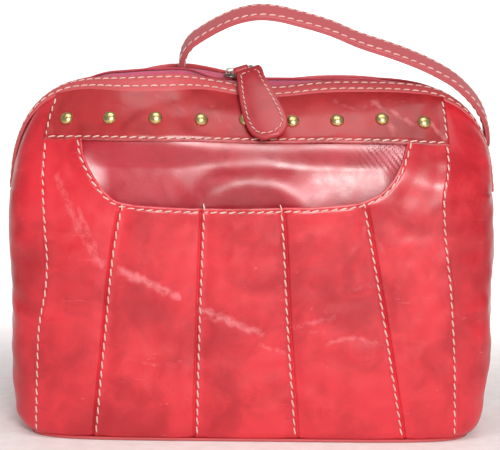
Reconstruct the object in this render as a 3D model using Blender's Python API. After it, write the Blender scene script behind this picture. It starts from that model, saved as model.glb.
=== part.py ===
"""Doctor bag in glazed leather: arched zip mouth, gored front pocket, studded band, one handle.

Frame: X to the right, the front faces -Y, Z up, origin at the centre of the base. Metres.

The outer surface is one family of skins. skin_y(x, z, inset) gives the front skin's y at a place
in the front view, moved inwards by inset; the back is its mirror image. Every panel is a thin
closed shell between two of these skins, so neighbours keep their gap by keeping their insets apart.
"""
import math

import bmesh
import bpy
from mathutils import Matrix, Vector

# ---- Driving dimensions (metres) ----
HALF_WIDTH = 0.150
HALF_DEPTH = 0.0575
TOP = 0.228                 # height of the mouth's edge where the zip is open
DOME_START = 0.140          # the front and back lean in to the mouth above this height
DOME_POWER = 2.4
SHOULDER_START = 0.170      # the silhouette's corner arcs start here
SHOULDER_X = 0.095          # half length of the flat top
CORNER_RADIUS = 0.016       # lower corners of the silhouette
FOOT_RADIUS = 0.006         # rounding of the front's lower edge
RIGHT_SETTLE = 0.0022       # the zipped half sits lower than the open half
LEATHER = 0.0016
GAP = 0.0003

# Mouth and zip
MOUTH_HALF = 0.014          # zip centre to the binding's edge, zipped
MOUTH_SPREAD = 0.0140       # how much further it stands off where the zip is open
SPREAD_START = -0.0183      # the zip is open to the left of this x
SPREAD_RAMP = 0.036
ZIP_END_Z = 0.155
TAPE_WIDTH = 0.0121
COIL_RADIUS = 0.0012
COIL_Z = 0.2248             # height of the straight zipped run
COIL_RUN_END = 0.075

# Seams
HINGE_Z = 0.190             # seam between the front panel and the stud band
SEAM_X = 0.1241             # vertical seams, at the stud band
SEAM_FLARE = 0.0085         # how much further out they are at the base
GORE_TOPS = (-0.081, -0.030, 0.019, 0.072)
GORE_FEET = (-0.0985, -0.034, 0.028, 0.096)
PANEL_FOOT = 0.0021

# Front pocket
LIP_CENTRE_X = -0.004
LIP_FLAT_HALF = 0.075
LIP_CORNER = 0.0285
LIP_DROP = 0.0435
POCKET_DEPTH = 0.0085
FACING_EDGE = 0.0038
FACING_FOOT = 0.118

# Handle
STRAP_WIDTH = 0.018
STRAP_THICK = 0.0028
STRAP_LEFT = Vector((-0.045, 0.0, 0.228))
STRAP_RIGHT = Vector((0.1518, 0.0, 0.186))
STRAP_LEAN = math.radians(28.0)
STRAP_ARCH = (              # (x, height above the line between its two ends)
    (-0.0450, 0.000), (-0.0448, 0.011), (-0.0402, 0.0232), (-0.0302, 0.0341), (-0.0191, 0.0433),
    (-0.0065, 0.0513), (0.0054, 0.0563), (0.0170, 0.0582), (0.0294, 0.0578), (0.0482, 0.0558),
    (0.0640, 0.0528), (0.0830, 0.0505), (0.0995, 0.0475), (0.1150, 0.0440), (0.1275, 0.0393),
    (0.1380, 0.0310), (0.1465, 0.0200), (0.1505, 0.0095), (0.1518, 0.000), (0.1518, -0.003),
)
TUCK_ROUTE = ((-0.045, 0.219), (-0.060, 0.199), (-0.098, 0.178), (-0.128, 0.166), (-0.1445, 0.158))

# Studs
STUD_COUNT = 9
STUD_FIRST_X = -0.117
STUD_PITCH = 0.0284
STUD_Z = 0.202
STUD_RADIUS = 0.004
STUD_POST = 0.001
STUD_HOLE = 0.0013

# Zip slider, link and pull tab
SLIDER_X = -0.014
SLIDER_LENGTH = 0.008
SLIDER_HALF_WIDTH = 0.0045
BRIDGE_EYE_RISE = 0.0041    # height of the slider's eye above the coil's centre
LINK_WIRE = 0.0007
LINK_WIDTH = 0.014
LINK_BACK = 0.003
LINK_FRONT = 0.0155
LINK_LEAN = math.radians(17.0)
TAB_SLOPE = math.radians(45.7)
TAB_WIDTH = 0.016
TAB_SHIFT = 0.005           # the blade hangs off to the right of its folded sleeve
TAB_LENGTH = 0.052
TAB_THICK = 0.0024

# Base
BASE_HALF_WIDTH = 0.1385
BASE_HALF_DEPTH = 0.0545
BASE_THICK = 0.0018
BASE_POWER = 6.0
WELT_RADIUS = 0.0009
BOARD_HALF_WIDTH = 0.125
BOARD_HALF_DEPTH = 0.0470
BOARD_CENTRE_Y = 0.0045

COLUMNS = 32                # columns across every piece of the mouth's straight run

RED = (0.52, 0.035, 0.045)
DEEP_RED = (0.36, 0.025, 0.035)
WINE = (0.28, 0.012, 0.028)
PINK = (0.66, 0.05, 0.16)
BRASS = (0.62, 0.47, 0.16)
OLD_METAL = (0.24, 0.23, 0.19)
BOARD_GREY = (0.30, 0.26, 0.23)


# ---- The bag's skins ----

def smooth(value):
    """Smooth step from 0 to 1."""
    value = min(max(value, 0.0), 1.0)
    return value * value * (3.0 - 2.0 * value)


def mouth_half(x):
    """Half the distance between the two bound edges of the mouth at x."""
    left_end = smooth((SEAM_X + x) / 0.050)
    return MOUTH_HALF + MOUTH_SPREAD * smooth((SPREAD_START - x) / SPREAD_RAMP) * left_end


def settled(x, z):
    """Height on the unsettled skin that a point at (x, z) comes from."""
    dip = 0.003 * math.exp(-((x - 0.013) / 0.025) ** 2)
    drop = RIGHT_SETTLE * smooth((x + 0.045) / 0.050) + dip
    return z + drop * smooth((z - 0.150) / 0.070)


def half_width(z):
    """Half the silhouette's width at height z."""
    if z < CORNER_RADIUS:
        return HALF_WIDTH - CORNER_RADIUS + math.sqrt(max(CORNER_RADIUS**2 - (CORNER_RADIUS - z)**2, 0.0))
    if z > SHOULDER_START:
        rise = min((z - SHOULDER_START) / (TOP - SHOULDER_START), 1.0)
        return SHOULDER_X + (HALF_WIDTH - SHOULDER_X) * math.sqrt(1.0 - rise**2)
    return HALF_WIDTH


def half_depth(x, z):
    """Half the bag's depth on its centre line at height z."""
    if z < FOOT_RADIUS:
        return HALF_DEPTH - FOOT_RADIUS + math.sqrt(max(FOOT_RADIUS**2 - (FOOT_RADIUS - z)**2, 0.0))
    rise = max((z - DOME_START) / (TOP - DOME_START), 0.0)
    edge = mouth_half(x)
    return edge + (HALF_DEPTH - edge) * (1.0 - rise**DOME_POWER)


def corner_power(z):
    """Exponent of the horizontal section: higher is squarer."""
    return 6.0 - 1.5 * smooth((z - 0.150) / 0.050)


def skin_depth(x, z, inset=0.0):
    """Distance of the skin from the bag's middle plane at (x, z)."""
    z = settled(x, z)
    power = corner_power(z)
    across = min(abs(x) / (half_width(z) - inset), 1.0)
    return max(half_depth(x, z) - inset, 0.0) * (1.0 - across**power)**(1.0 / power)


def layer_depth(x, z, inset):
    """Depth of a layer under the skin, which never dives away from it where the skin turns steep."""
    return max(skin_depth(x, z, inset), skin_depth(x, z) - 1.6 * inset)


def edge_height(x, depth, inset=0.0):
    """Height at which the skin comes in to the given distance from the middle plane."""
    low, high = DOME_START, TOP + 0.012
    for _ in range(40):
        middle = 0.5 * (low + high)
        if skin_depth(x, middle, inset) > depth:
            low = middle
        else:
            high = middle
    return low


def wrap_angle(u, v):
    """Polar angle of a point given in half widths and half depths."""
    return math.atan2(v, u)


def wrap_point(side, z, angle, inset):
    """Point on the wrapped skin of a side, at a polar angle from straight out sideways."""
    raised = settled(side * 0.140, z)
    power = corner_power(raised)
    c, s = abs(math.cos(angle)), abs(math.sin(angle))
    reach = 1.0 / (c**power + s**power)**(1.0 / power)
    x = side * (half_width(raised) - inset) * reach * c
    y = (half_depth(side * 0.140, raised) - inset) * reach * math.copysign(s, angle)
    return Vector((x, y, z))


def angle_at_x(side, z, x, inset):
    """Polar angle at which the wrapped skin passes |x|."""
    raised = settled(side * 0.140, z)
    power = corner_power(raised)
    u = min(abs(x) / (half_width(raised) - inset), 0.9999)
    return wrap_angle(u, (1.0 - u**power)**(1.0 / power))


def angle_at_depth(side, z, depth, inset):
    """Polar angle at which the wrapped skin is this far from the middle plane."""
    raised = settled(side * 0.140, z)
    power = corner_power(raised)
    v = min(depth / (half_depth(side * 0.140, raised) - inset), 0.9999)
    return wrap_angle((1.0 - v**power)**(1.0 / power), v)


def seam_x(z):
    """|x| of the vertical seams at height z."""
    return SEAM_X + SEAM_FLARE * max(1.0 - z / HINGE_Z, 0.0)


def lip_height(x):
    """Height of the pocket's lip, or None outside it."""
    offset = abs(x - LIP_CENTRE_X) - LIP_FLAT_HALF
    if offset > LIP_CORNER:
        return None
    fraction = max(offset, 0.0) / LIP_CORNER
    return HINGE_Z - LIP_DROP * math.sqrt(1.0 - fraction**2)


def lerp(a, b, t):
    return a + (b - a) * t


def spread(start, end, count):
    """Evenly spaced values, both ends included."""
    return [lerp(start, end, i / (count - 1)) for i in range(count)]


# ---- Building blocks ----

MATERIALS = {}
PIVOTS = {}


def material(name, colour, roughness, metallic=0.0):
    """A Principled material, made once per name."""
    if name not in MATERIALS:
        made = bpy.data.materials.new(name)
        made.use_nodes = True
        shader = made.node_tree.nodes["Principled BSDF"]
        shader.inputs["Base Color"].default_value = (*colour, 1.0)
        shader.inputs["Roughness"].default_value = roughness
        shader.inputs["Metallic"].default_value = metallic
        MATERIALS[name] = made
    return MATERIALS[name]


def pivot(name, place, parent=None):
    """An empty on a joint's axis."""
    empty = bpy.data.objects.new(name, None)
    bpy.context.collection.objects.link(empty)
    empty.location = place if parent is None else place - PIVOTS[parent][1]
    if parent is not None:
        empty.parent = PIVOTS[parent][0]
    PIVOTS[name] = (empty, place.copy())


def add_piece(name, mesh, finish, on=None, smooth_angle=50.0):
    """Link a mesh given in world places as one named piece, parented to a pivot if it moves."""
    work = bmesh.new()
    work.from_mesh(mesh)
    bmesh.ops.recalc_face_normals(work, faces=work.faces)
    if work.calc_volume(signed=True) < 0.0:
        bmesh.ops.reverse_faces(work, faces=work.faces)
    work.to_mesh(mesh)
    work.free()
    piece = bpy.data.objects.new(name, mesh)
    bpy.context.collection.objects.link(piece)
    mesh.materials.append(finish)
    mesh.shade_smooth()
    mesh.set_sharp_from_angle(angle=math.radians(smooth_angle))
    if on is not None:
        empty, place = PIVOTS[on]
        mesh.transform(Matrix.Translation(-place))
        piece.parent = empty
    return piece


def mesh_of(name, points, faces):
    made = bpy.data.meshes.new(name)
    made.from_pydata([tuple(p) for p in points], [], faces)
    made.update()
    return made


def shell(name, outer, inner, keep=None, closed=False):
    """A closed thin shell between two grids of points, over the cells that keep(row, column) allows."""
    rows, cols = len(outer), len(outer[0])
    points = [p for row in outer for p in row] + [p for row in inner for p in row]
    inside = rows * cols

    def index(row, col):
        return row * cols + col % cols

    last = cols if closed else cols - 1
    cells = [(r, c) for r in range(rows - 1) for c in range(last) if keep is None or keep(r, c)]
    faces = []
    edges = {}
    for r, c in cells:
        ring = [index(r, c), index(r, c + 1), index(r + 1, c + 1), index(r + 1, c)]
        faces.append(ring)
        faces.append([i + inside for i in reversed(ring)])
        for a, b in zip(ring, ring[1:] + ring[:1]):
            if (b, a) in edges:
                del edges[(b, a)]
            else:
                edges[(a, b)] = True
    faces += [[b, a, a + inside, b + inside] for a, b in edges]
    used = sorted({i for face in faces for i in face})
    renumber = {old: new for new, old in enumerate(used)}
    return mesh_of(name, [points[i] for i in used], [[renumber[i] for i in face] for face in faces])


def front_grid(columns, side, inset):
    """Points of a skin from columns of (x, z); side -1 is the front, 1 the back."""
    return [[Vector((x, side * layer_depth(x, z, inset(x, z)), z)) for x, z in row] for row in columns]


def tube(name, path, radius, sides, closed=False):
    """A round bar along a path of points."""
    count = len(path)
    points = []
    for i, centre in enumerate(path):
        before = path[(i - 1) % count] if closed or i > 0 else path[i]
        after = path[(i + 1) % count] if closed or i < count - 1 else path[i]
        forward = (after - before).normalized()
        aside = forward.cross(Vector((0.0, 0.0, 1.0)))
        if aside.length < 1e-6:
            aside = forward.cross(Vector((0.0, 1.0, 0.0)))
        aside.normalize()
        up = aside.cross(forward)
        for k in range(sides):
            turn = 2.0 * math.pi * (k + 0.5) / sides
            points.append(centre + radius * (math.cos(turn) * aside + math.sin(turn) * up))
    faces = []
    for i in range(count if closed else count - 1):
        j = (i + 1) % count
        for k in range(sides):
            n = (k + 1) % sides
            faces.append([i * sides + k, i * sides + n, j * sides + n, j * sides + k])
    if not closed:
        faces.append(list(range(sides)))
        faces.append(list(range((count - 1) * sides, count * sides)))
    return mesh_of(name, points, faces)


def lathe(name, profile, segments, frame, ring=False):
    """Turn a profile of (radius, height) about the frame's Z axis; a ring's profile is a closed loop."""
    points, rows = [], []
    for radius, height in profile:
        if radius < 1e-9:
            rows.append([len(points)] * segments)
            points.append(frame @ Vector((0.0, 0.0, height)))
            continue
        rows.append([len(points) + k for k in range(segments)])
        for k in range(segments):
            turn = 2.0 * math.pi * k / segments
            points.append(frame @ Vector((radius * math.cos(turn), radius * math.sin(turn), height)))
    faces = []
    pairs = list(zip(rows, rows[1:])) + ([(rows[-1], rows[0])] if ring else [])
    for low, high in pairs:
        for k in range(segments):
            n = (k + 1) % segments
            corners = [low[k], low[n], high[n], high[k]]
            face = [v for i, v in enumerate(corners) if v != corners[i - 1]]
            faces.append(face)
    return mesh_of(name, points, faces)


def ribbon(name, path, normals, broad, thick, round_end=False):
    """A strap of rectangular section; broad is the direction of its width."""
    outer, inner = [], []
    count = len(path)
    for i, centre in enumerate(path):
        narrow = 1.0
        if round_end and i >= count - 3:
            narrow = (0.92, 0.72, 0.36)[i - (count - 3)]
        half = 0.5 * STRAP_WIDTH * narrow
        lift = 0.5 * thick * normals[i]
        outer.append([centre + lift - half * broad, centre + lift + half * broad])
        inner.append([centre - lift - half * broad, centre - lift + half * broad])
    return shell(name, outer, inner)


def smooth_route(knots, steps):
    """Catmull-Rom curve through knots of any length, steps to each span."""
    padded = [2 * knots[0] - knots[1]] + list(knots) + [2 * knots[-1] - knots[-2]]
    route = []
    for i in range(1, len(padded) - 2):
        a, b, c, d = padded[i - 1:i + 3]
        for k in range(steps):
            t = k / steps
            route.append(0.5 * (2 * b + (c - a) * t + (2 * a - 5 * b + 4 * c - d) * t**2
                                + (3 * b - a - 3 * c + d) * t**3))
    route.append(knots[-1].copy())
    return route


# ---- Front: gores, pocket, stud band ----

def make_gores(finish):
    """Five gores that make the pocket's front; their tops follow the lip."""
    tops = (-SEAM_X,) + GORE_TOPS + (SEAM_X,)
    feet = (-SEAM_X - SEAM_FLARE,) + GORE_FEET + (SEAM_X + SEAM_FLARE,)
    top_z = HINGE_Z - 0.5 * GAP
    for number in range(5):
        def line_x(share, z, left=number):
            rise = min(z / HINGE_Z, 1.0)
            west = lerp(feet[left], tops[left], rise) + 0.5 * GAP
            east = lerp(feet[left + 1], tops[left + 1], rise) - 0.5 * GAP
            return lerp(west, east, share)

        def column_top(share, place=line_x):
            lip = lip_height(place(share, top_z))
            if lip is None or lip > top_z:
                return top_z
            low, high = 0.5 * HINGE_Z, top_z
            for _ in range(30):
                middle = 0.5 * (low + high)
                lip = lip_height(place(share, middle))
                if lip is None or middle < lip:
                    low = middle
                else:
                    high = middle
            return low

        shares = spread(0.0, 1.0, 9 if number in (0, 4) else 5)
        heights = [column_top(share) for share in shares]
        rows = []
        for level in (0.0, 0.03, 0.35, 0.7, 0.86, 1.0):
            row = []
            for share, height in zip(shares, heights):
                z = lerp(PANEL_FOOT, height, level)
                row.append((line_x(share, z), z))
            rows.append(row)
        outer = front_grid(rows, -1, lambda x, z: 0.0)
        inner = front_grid(rows, -1, lambda x, z: LEATHER)
        name = f"pocket_gore_{number + 1}"
        add_piece(name, shell(name, outer, inner), finish)


def facing_inset(x, z):
    """Inset of the pocket's back wall: deep behind the lip, sewn in close along its edges."""
    depth = smooth((0.1205 - abs(x)) / 0.018) * smooth((HINGE_Z - z) / 0.030)
    return FACING_EDGE + (POCKET_DEPTH - FACING_EDGE) * depth


def make_pocket_back(facing_finish, lining_finish):
    """Leather facing behind the lip, and the pocket's lining below it."""
    for name, low, high, levels, thick, finish in (
        ("pocket_facing", FACING_FOOT + 0.5 * GAP, HINGE_Z - 0.5 * GAP, 7, 0.0014, facing_finish),
        ("pocket_lining", PANEL_FOOT, FACING_FOOT - 0.5 * GAP, 4, 0.0008, lining_finish),
    ):
        shares = [math.sin(0.5 * math.pi * s) for s in spread(-1.0, 1.0, 21)]
        rows = [[(share * (seam_x(z) - 0.001), z) for share in shares] for z in spread(low, high, levels)]
        outer = front_grid(rows, -1, facing_inset)
        inner = front_grid(rows, -1, lambda x, z, t=thick: facing_inset(x, z) + t)
        add_piece(name, shell(name, outer, inner), finish)


def band_rows(low, drop, levels):
    """Columns of the band between its lower seam and the mouth's edge."""
    columns = [(x, edge_height(x, mouth_half(x)) - drop)
               for x in spread(-SEAM_X + GAP, SEAM_X - GAP, COLUMNS + 1)]
    return [[(x, lerp(low, top, level)) for x, top in columns] for level in spread(0.0, 1.0, levels)]


def make_band(name, side, finish, on=None):
    rows = band_rows(HINGE_Z + 0.5 * GAP, 0.0, 5)
    outer = front_grid(rows, side, lambda x, z: 0.0)
    inner = front_grid(rows, side, lambda x, z: LEATHER)
    return add_piece(name, shell(name, outer, inner), finish, on)


def make_band_lining(name, side, finish, on=None):
    rows = band_rows(HINGE_Z + 0.004, 0.004, 3)
    outer = front_grid(rows, side, lambda x, z: 0.0042)
    inner = front_grid(rows, side, lambda x, z: 0.0049)
    add_piece(name, shell(name, outer, inner), finish, on)


def stud_frames():
    """Frame of each stud: origin on the band's face, Z out of it."""
    step = 0.001
    frames = []
    for number in range(STUD_COUNT):
        x = STUD_FIRST_X + number * STUD_PITCH
        y = -skin_depth(x, STUD_Z)
        along_x = Vector((2 * step, skin_depth(x - step, STUD_Z) - skin_depth(x + step, STUD_Z), 0.0))
        along_z = Vector((0.0, skin_depth(x, STUD_Z - step) - skin_depth(x, STUD_Z + step), 2 * step))
        outward = along_x.cross(along_z).normalized()
        turn = outward.to_track_quat('Z', 'Y').to_matrix().to_4x4()
        frames.append(Matrix.Translation(Vector((x, y, STUD_Z))) @ turn)
    return frames


def make_studs(band, brass):
    """Nine domed studs with their back washers, and the holes that they pass through."""
    for number, frame in enumerate(stud_frames()):
        cutter_mesh = lathe(f"stud_hole_{number + 1}",
                            ((0.0, -0.004), (STUD_HOLE, -0.004), (STUD_HOLE, 0.002), (0.0, 0.002)), 8, frame)
        cutter = add_piece(f"stud_hole_{number + 1}", cutter_mesh, brass, "front_mouth_pivot")
        cutter.hide_render = True
        cutter.display_type = 'WIRE'
        cut = band.modifiers.new(f"hole_{number + 1}", 'BOOLEAN')
        cut.operation = 'DIFFERENCE'
        cut.solver = 'EXACT'
        cut.object = cutter
        profile = ((0.0, -0.0026), (STUD_POST, -0.0026), (STUD_POST, 0.0003), (STUD_RADIUS, 0.0004),
                   (STUD_RADIUS, 0.0008), (0.0031, 0.0020), (0.0016, 0.0028), (0.0, 0.0031))
        name = f"stud_{number + 1}"
        add_piece(name, lathe(name, profile, 10, frame), brass, "front_mouth_pivot", 40.0)
        washer = ((STUD_HOLE, -0.0019), (0.0028, -0.0019), (0.0028, -0.0025), (STUD_HOLE, -0.0025))
        name = f"stud_back_{number + 1}"
        add_piece(name, lathe(name, washer, 8, frame, ring=True), brass, "front_mouth_pivot")


# ---- Sides, back and base ----

def shoulder_heights(end):
    """Heights of the rows up a shoulder; the right one is the settled side."""
    heights = []
    for z in (0.168, 0.180, 0.190, 0.200, 0.2085, 0.2145):
        drop = RIGHT_SETTLE * smooth((z - 0.150) / 0.070) if end > 0 else 0.0
        heights.append(z - drop)
    return heights


def side_rows(side):
    return [PANEL_FOOT, 0.004, 0.008, 0.016, 0.060, 0.110, ZIP_END_Z] + shoulder_heights(side)


def make_gusset(name, side, finish):
    """Side panel wrapping from the front seam to the back seam, notched above the zip's end."""
    front_cells, middle_cells = 5, 2

    def grid(inset):
        rows = []
        for z in side_rows(side):
            seam = angle_at_x(side, z, seam_x(z) + 0.5 * GAP, inset)
            notch = angle_at_depth(side, z, MOUTH_HALF, inset)
            angles = spread(-seam, -notch, front_cells + 1)
            angles += spread(-notch, notch, middle_cells + 1)[1:-1]
            angles += spread(notch, seam, front_cells + 1)
            rows.append([wrap_point(side, z, angle, inset) for angle in angles])
        return rows

    notch_row = side_rows(side).index(ZIP_END_Z)

    def keep(row, col):
        return row < notch_row or not front_cells <= col < front_cells + middle_cells

    add_piece(name, shell(name, grid(0.0), grid(LEATHER), keep), finish)


def make_back_panel(finish):
    rows = [[(share * (seam_x(z) - 0.5 * GAP), z) for share in spread(-1.0, 1.0, 13)]
            for z in [PANEL_FOOT, 0.004, 0.008] + spread(0.03, HINGE_Z - 0.5 * GAP, 6)]
    outer = front_grid(rows, 1, lambda x, z: 0.0)
    inner = front_grid(rows, 1, lambda x, z: LEATHER)
    add_piece("back_panel", shell("back_panel", outer, inner), finish)


def oval(half_x, half_y, count, centre_y=0.0, power=BASE_POWER):
    """Outline of a rounded rectangle."""
    outline = []
    for k in range(count):
        angle = 2.0 * math.pi * (k + 0.5) / count
        c, s = math.cos(angle), math.sin(angle)
        reach = 1.0 / (abs(c)**power + abs(s)**power)**(1.0 / power)
        outline.append((half_x * reach * c, centre_y + half_y * reach * s))
    return outline


def make_slab(name, outline, low, high, finish):
    count = len(outline)
    points = [Vector((x, y, z)) for z in (low, high) for x, y in outline]
    faces = [list(range(count)), list(range(2 * count - 1, count - 1, -1))]
    faces += [[k, (k + 1) % count, (k + 1) % count + count, k + count] for k in range(count)]
    add_piece(name, mesh_of(name, points, faces), finish)


def make_base(leather, board, lining):
    make_slab("base_panel", oval(BASE_HALF_WIDTH, BASE_HALF_DEPTH, 32), 0.0, BASE_THICK, leather)
    inner_outline = oval(BOARD_HALF_WIDTH, BOARD_HALF_DEPTH, 24, BOARD_CENTRE_Y)
    make_slab("base_board", inner_outline, PANEL_FOOT, 0.0046, board)
    make_slab("lining_floor", inner_outline, 0.0049, 0.0057, lining)
    clearance = WELT_RADIUS + GAP
    outline = oval(BASE_HALF_WIDTH + clearance, BASE_HALF_DEPTH + clearance, 40)
    path = [Vector((x, y, WELT_RADIUS + 0.0001)) for x, y in outline]
    add_piece("base_welt", tube("base_welt", path, WELT_RADIUS, 6, closed=True), leather)


def make_lining_wall(finish):
    """Loose lining inside the bag below the zip's ends."""
    shift = 0.0030

    def grid(inset):
        rows = []
        for z in spread(0.0100, 0.150, 5):
            width = half_width(max(z, CORNER_RADIUS)) - inset
            depth = HALF_DEPTH - shift - inset
            rows.append([Vector((x, y, z)) for x, y in oval(width, depth, 32, shift)])
        return rows

    add_piece("lining_wall", shell("lining_wall", grid(0.0052), grid(0.0060), closed=True), finish)


# ---- Mouth: bindings, tapes, coils ----

def edge_row(side, margin, inset):
    """Points along the mouth's straight run, margin outwards from the bound edge."""
    row = []
    for x in spread(-SEAM_X + GAP, SEAM_X - GAP, COLUMNS + 1):
        depth = mouth_half(x) + margin
        row.append(Vector((x, side * depth, edge_height(x, depth, inset))))
    return row


def make_binding_top(name, side, finish, on=None):
    margins = (0.0, 0.0028, 0.0056)
    outer = [edge_row(side, margin, -0.0018) for margin in margins]
    inner = [edge_row(side, margin, -0.0005) for margin in margins]
    add_piece(name, shell(name, outer, inner), finish, on)


def make_binding_shoulder(name, end, side, finish):
    """Binding down one shoulder; end is -1 left or 1 right."""
    def grid(inset):
        rows = []
        for z in [ZIP_END_Z + GAP] + shoulder_heights(end):
            near = angle_at_depth(end, z, MOUTH_HALF, inset)
            far = angle_at_depth(end, z, MOUTH_HALF + 0.0065, inset)
            rows.append([wrap_point(end, z, side * angle, inset) for angle in spread(near, far, 3)])
        return rows

    add_piece(name, shell(name, grid(-0.0018), grid(-0.0005)), finish)


def coil_place(x):
    """(distance from the middle plane, height) of the coil's centre at x."""
    depth = mouth_half(x) - MOUTH_HALF + COIL_RADIUS + 0.0004
    edge = edge_height(x, mouth_half(x)) - 0.0012
    if x < SPREAD_START:
        return depth, lerp(COIL_Z, edge, smooth((SPREAD_START - x) / SPREAD_RAMP))
    if x > COIL_RUN_END:
        return depth, lerp(COIL_Z, min(COIL_Z, edge), smooth((x - COIL_RUN_END) / 0.012))
    return depth, COIL_Z


def make_zip_top(name, side, tape_finish, coil_finish, on=None):
    """Tape and coil along the mouth's straight run."""
    thick = 0.0006
    rim, bead, coil = [], [], []
    for x in spread(-SEAM_X + GAP, SEAM_X - GAP, COLUMNS + 1):
        depth, z = coil_place(x)
        edge = mouth_half(x)
        rim_z = edge_height(x, edge)
        rim.append(Vector((x, side * (layer_depth(x, rim_z, LEATHER) - 0.0005), rim_z - 0.0006)))
        bead.append(Vector((x, side * (depth + COIL_RADIUS + GAP), z)))
        coil.append(Vector((x, side * depth, z)))
    lower = Vector((0.0, 0.0, -thick))
    outer = [rim, bead]
    inner = [[p + lower for p in row] for row in outer]
    add_piece(f"zip_tape_{name}", shell(f"zip_tape_{name}", outer, inner), tape_finish, on)
    add_piece(f"zip_coil_{name}", tube(f"zip_coil_{name}", coil, COIL_RADIUS, 6), coil_finish, on)


def make_zip_shoulder(name, end, side, finish):
    """Zipped tape and coil down one shoulder, to the zip's end."""
    def grid(inset):
        rows = []
        for z in [ZIP_END_Z + GAP] + shoulder_heights(end):
            near = angle_at_depth(end, z, 0.0004, inset)
            far = angle_at_depth(end, z, MOUTH_HALF - 0.0004, inset)
            rows.append([wrap_point(end, z, side * angle, inset) for angle in spread(near, far, 3)])
        return rows

    add_piece(name, shell(name, grid(0.0004), grid(0.0010)), finish)


# ---- Slider, link, pull tab ----

def joined(name, boxes, finish, on):
    """Boxes given by two corners, united into one solid."""
    whole = None
    for number, (low, high) in enumerate(boxes):
        spans = [(low[axis], high[axis]) for axis in range(3)]
        corners = [Vector((x, y, z)) for x in spans[0] for y in spans[1] for z in spans[2]]
        faces = [[0, 1, 3, 2], [4, 6, 7, 5], [0, 4, 5, 1], [2, 3, 7, 6], [0, 2, 6, 4], [1, 5, 7, 3]]
        label = name if number == 0 else f"{name}_block_{number}"
        block = add_piece(label, mesh_of(label, corners, faces), finish, on)
        if whole is None:
            whole = block
            continue
        block.hide_render = True
        block.display_type = 'WIRE'
        unite = whole.modifiers.new(label, 'BOOLEAN')
        unite.operation = 'UNION'
        unite.solver = 'EXACT'
        unite.object = block
    return whole


def make_slider(finish):
    """Slider: channel plate with its front flange and bridge, and the plate under the front tape."""
    west, east = SLIDER_X - 0.5 * SLIDER_LENGTH, SLIDER_X + 0.5 * SLIDER_LENGTH
    plate_low, plate_high = COIL_Z + 0.0016, COIL_Z + 0.0028
    back, front = SLIDER_HALF_WIDTH, -SLIDER_HALF_WIDTH
    eye = COIL_Z + BRIDGE_EYE_RISE
    boxes = [
        ((west, front, plate_low), (east, back, plate_high)),
        ((west, front, COIL_Z + 0.0009), (east, front + 0.0009, plate_high - 0.0002)),
        ((west + 0.0012, -0.0013, plate_high - 0.0002), (west + 0.0024, 0.0013, eye + 0.0026)),
        ((east - 0.0024, -0.0014, plate_high - 0.0003), (east - 0.0012, 0.0014, eye + 0.0024)),
        ((west + 0.0010, -0.0012, eye + 0.0014), (east - 0.0010, 0.0012, eye + 0.0025)),
    ]
    joined("zip_slider", boxes, finish, "slider_pivot")
    under = [((west, front, COIL_Z - 0.0030), (east, -0.0006, COIL_Z - 0.0018))]
    joined("zip_slider_underplate", under, finish, "slider_pivot")


def link_axes():
    """Across, towards the front, and up, in the leaning frame of the link."""
    across = Vector((math.cos(LINK_LEAN), 0.0, math.sin(LINK_LEAN)))
    up = Vector((-math.sin(LINK_LEAN), 0.0, math.cos(LINK_LEAN)))
    return across, Vector((0.0, -1.0, 0.0)), up


def make_link(finish, eye):
    """Closed wire link through the slider's eye."""
    across, front, _ = link_axes()
    corner = 0.0016
    centre = eye + 0.5 * LINK_WIDTH * across + 0.5 * (LINK_FRONT - LINK_BACK) * front
    half_a = 0.5 * LINK_WIDTH - corner
    half_b = 0.5 * (LINK_FRONT + LINK_BACK) - corner
    path = []
    for quarter, (sa, sb) in enumerate(((1, 1), (-1, 1), (-1, -1), (1, -1))):
        for step in range(4):
            turn = 0.5 * math.pi * (quarter + step / 3.0)
            path.append(centre + (sa * half_a + corner * math.cos(turn)) * across
                        + (sb * half_b + corner * math.sin(turn)) * front)
    add_piece("pull_link", tube("pull_link", path, LINK_WIRE, 8, closed=True), finish, "link_pivot")


def make_pull_tab(finish, hinge):
    """Leather tab: a folded sleeve round the link's front bar, and the stitched blade below it."""
    across, front, up = link_axes()
    down = (front * math.sin(TAB_SLOPE) - up * math.cos(TAB_SLOPE)).normalized()
    out = down.cross(across).normalized()
    frame = Matrix((across, out, -down)).transposed().to_4x4()
    frame.translation = hinge
    half = 0.5 * TAB_WIDTH
    outline = [(-half, -0.0016), (-half, -TAB_LENGTH + half)]
    for turn in spread(0.3, math.pi - 0.3, 7):
        outline.append((-half * math.cos(turn), -TAB_LENGTH + half - half * math.sin(turn)))
    outline += [(half, -TAB_LENGTH + half), (half, -0.0016)]
    count = len(outline)
    faces_y = (-0.5 * TAB_THICK, 0.5 * TAB_THICK)
    points = [frame @ Vector((x + TAB_SHIFT, y, z)) for y in faces_y for x, z in outline]
    faces = [list(range(count)), list(range(2 * count - 1, count - 1, -1))]
    faces += [[k, (k + 1) % count, (k + 1) % count + count, k + count] for k in range(count)]
    tab = add_piece("pull_tab", mesh_of("pull_tab", points, faces), finish, "tab_pivot")
    turned = frame @ Matrix.Rotation(0.5 * math.pi, 4, 'Y')
    for label, radius, length, operation in (("tab_sleeve", 0.0023, 0.0064, 'UNION'),
                                             ("tab_bore", 0.0011, 0.020, 'DIFFERENCE')):
        profile = ((0.0, -0.5 * length), (radius, -0.5 * length), (radius, 0.5 * length), (0.0, 0.5 * length))
        tool = add_piece(label, lathe(label, profile, 12, turned), finish, "tab_pivot")
        tool.hide_render = True
        tool.display_type = 'WIRE'
        change = tab.modifiers.new(label, 'BOOLEAN')
        change.operation = operation
        change.solver = 'EXACT'
        change.object = tool


# ---- Handle ----

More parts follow.
